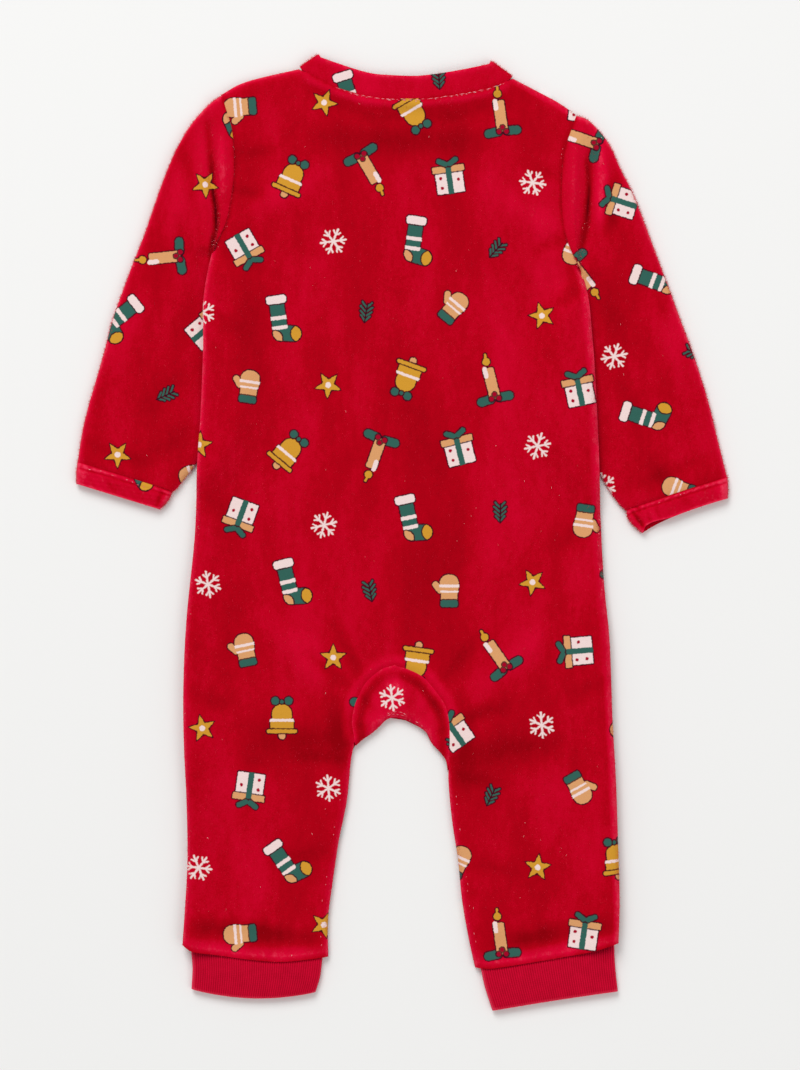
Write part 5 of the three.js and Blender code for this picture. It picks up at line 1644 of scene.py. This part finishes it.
def make_cuff(name, sections, hem):
    def valley(share):
        return (1 + np.cos(2 * np.pi * RIB_COUNT * share)) / 2

    def place(rows, k, share, upper):
        x, y, bow = between(rows, share)
        start = first_section(sections, "y", share)
        near_seam = 1 - smooth(k)[:, None]
        return x, y + bow + (smooth_at(hem, "x", "y", x) - CUFF_MEET - start) * near_seam

    def top_at(rows, k, share, upper):
        seam = CUFF_SEAM * hump(k[:, None] * CUFF_TOP_STEP, 1.3)
        fold = CUFF_FOLD * hump((k[-1] - k[:, None]) * CUFF_STEP, 1.5)
        return rows["top"][:, None] - RIB_DEPTH * valley(share) - seam - fold

    def bottom_at(k, share):
        return RIB_DEPTH * valley(share)

    # Painted highlight along the folded lower edge.
    def nap_and_painted_light(k, x, y):
        return CUFF_RIM_HIGHLIGHT * hump((k[-1] - k[:, None]) * CUFF_STEP, RIM_HIGHLIGHT_WIDTH) + 0 * x

    across = np.linspace(0, 1, RIB_COUNT * RIB_POINTS + 1)
    piece = tube(name, sections, 4 * FINE, place, top_at, RIB_CLOTH, RIB_ROLL, across, nap_and_painted_light,
                 bottom_at)
    mesh = piece.data
    mesh.materials.append(COTTON_RIB)
    around = 2 * (len(across) - 1)
    rows_down = len(mesh.vertices) // 2 // around
    share = np.concatenate([across, across[-2:0:-1]])
    point = np.arange(len(mesh.vertices)) % (rows_down * around)
    corner = values_of(mesh.loops, "vertex_index", kind=int)
    ribs = share[point % around] * RIB_COUNT
    courses = point // around / (rows_down - 1) * RIB_LOOPS
    layer = mesh.uv_layers.new(name="ribs")
    layer.data.foreach_set("uv", np.stack([ribs, courses], axis=-1)[corner].ravel())
    return piece


cuff_left = make_cuff("ankle_cuff_left_rib", LEFT_CUFF, LEFT_HEM)
cuff_right = make_cuff("ankle_cuff_right_rib", RIGHT_CUFF, RIGHT_HEM)
for piece, node in ((cuff_left, "ankle_cuff_left"), (cuff_right, "ankle_cuff_right")):
    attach(piece, "root")
    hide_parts(node)

# Sewing thread
# Pale thread that shows in flecks between the pile: along the neck seam, in two rows inside the
# gusset's lower edge, along the wrist hems and inside the legs.
THREAD_RADIUS = 0.24
THREAD_SUNK = 0.05  # how far the ends of a stitch go into the cloth
thread_order = np.random.default_rng(5)
THREAD_PALE = (0.95, 0.42, 0.50)
THREAD_DEEP = (0.80, 0.10, 0.15)


def thread_material():
    material, tree, shader, place = new_material("sewing_thread", 0.7)
    share = ((tone_noise(tree, place, 260, 1.0) - 0.33) * 4.0).clamp()
    tree.links.new(blended(tree, THREAD_PALE, THREAD_DEEP, share), shader.inputs["Base Color"])
    return material


SEWING_THREAD = thread_material()
bpy.context.view_layer.update()


def top_of(piece, x, y):
    """Height of a piece's upper face at a place, or None where there is none."""
    hit, place, _, _ = piece.ray_cast(Vector((x * MM, y * MM, 0.05)), Vector((0, 0, -1)))
    return place.z / MM if hit else None


def sew(name, piece, path, stitch, gap, shown, lift_off=0.12):
    """Stitches along a path on a piece. Only a share of them comes up through the pile."""
    path = np.array(path, float)
    share = along(path)
    total = np.hypot(*np.diff(path, axis=0).T).sum()
    points, faces = [], []
    place = gap
    while place < total - stitch:
        long = stitch * thread_order.uniform(0.45, 1.5)
        start, end = place / total, (place + long) / total
        place += long + gap * thread_order.uniform(0.6, 1.4)
        if thread_order.random() > shown:
            continue
        side = thread_order.normal(0, 0.2, 2)
        ends = [np.array([np.interp(s, share, path[:, 0]), np.interp(s, share, path[:, 1])]) + side
                for s in (start, end)]
        heights = [top_of(piece, *e) for e in ends]
        if None in heights:
            continue
        way = (ends[1] - ends[0]) / max(np.linalg.norm(ends[1] - ends[0]), 1e-6)
        across = np.array([-way[1], way[0]]) * THREAD_RADIUS
        middle = (ends[0] + ends[1]) / 2
        level = sum(heights) / 2 + lift_off
        first = len(points)
        points += [
            (*ends[0], heights[0] - THREAD_SUNK),
            (*(middle + across), level), (*middle, level + THREAD_RADIUS),
            (*(middle - across), level), (*middle, level - THREAD_RADIUS),
            (*ends[1], heights[1] - THREAD_SUNK),
        ]
        for a, b in ((1, 2), (2, 3), (3, 4), (4, 1)):
            faces += [(first, first + a, first + b), (first + 5, first + b, first + a)]
    thread = add_object(name, points, faces, [SEWING_THREAD])
    thread.data.shade_smooth()
    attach(thread, "root")


neck_line = trace(BACK_NECK, "x", "y", -40, 63, 60) - [0, 0.7]
gusset_line = np.array([(-9, -109.8), (-4, -108.2), (1, -109.4), (4, -111), (9.5, -114), (14, -117)])
left_band_line = np.array([(-193.2, 41.0), (-179, 38.2), (-163.8, 32.8), (-145.8, 26.2), (-138.5, 23.4)])
right_band_line = np.array([(146.5, 17.4), (160, 22.2), (178, 28.6), (193.5, 32.4)])
left_inseam = trace(LEFT_MIDDLE, "y", "x", -132, -250, 40) - [4.0, 0]
right_inseam = trace(RIGHT_MIDDLE, "y", "x", -142, -256, 40) + [4.0, 0]
# The length of a stitch, the gap after it, the share of stitches that show and how high they lie
sew("neck_stitches", back, neck_line, 3.4, 0.02, 1)
sew("neck_flecks", back, neck_line - [0, 0.6], 1.8, 1.6, 0.6)
sew("gusset_stitches_low", gusset, gusset_line[:4], 2.6, 0.05, 1)
sew("gusset_stitches_high", gusset, gusset_line[:4] + [0.3, 1.2], 2.4, 0.1, 1)
sew("gusset_stitches_side", gusset, gusset_line[3:], 2.0, 1.2, 0.7)
sew("left_armhole_flecks", back, LEFT_ARMHOLE[20:] + [1.6, 0], 1.5, 3.2, 0.3)
sew("right_armhole_flecks", back, RIGHT_ARMHOLE[3:9] - [1.2, 0], 1.3, 2.0, 0.35)
sew("right_underarm_flecks", back, RIGHT_ARMHOLE[19:] - [1.2, 0], 1.3, 1.8, 0.5)
sew("left_hem_stitches", band_left, left_band_line - [0, 1.9], 2.2, 1.6, 0.4, 0.0)
sew("right_hem_stitches", band_right, right_band_line - [0, 1.9], 2.2, 1.6, 0.4, 0.0)
sew("left_inseam_stitches", back, left_inseam, 1.3, 3.4, 0.3)
sew("right_inseam_stitches", back, right_inseam, 1.3, 3.4, 0.3)
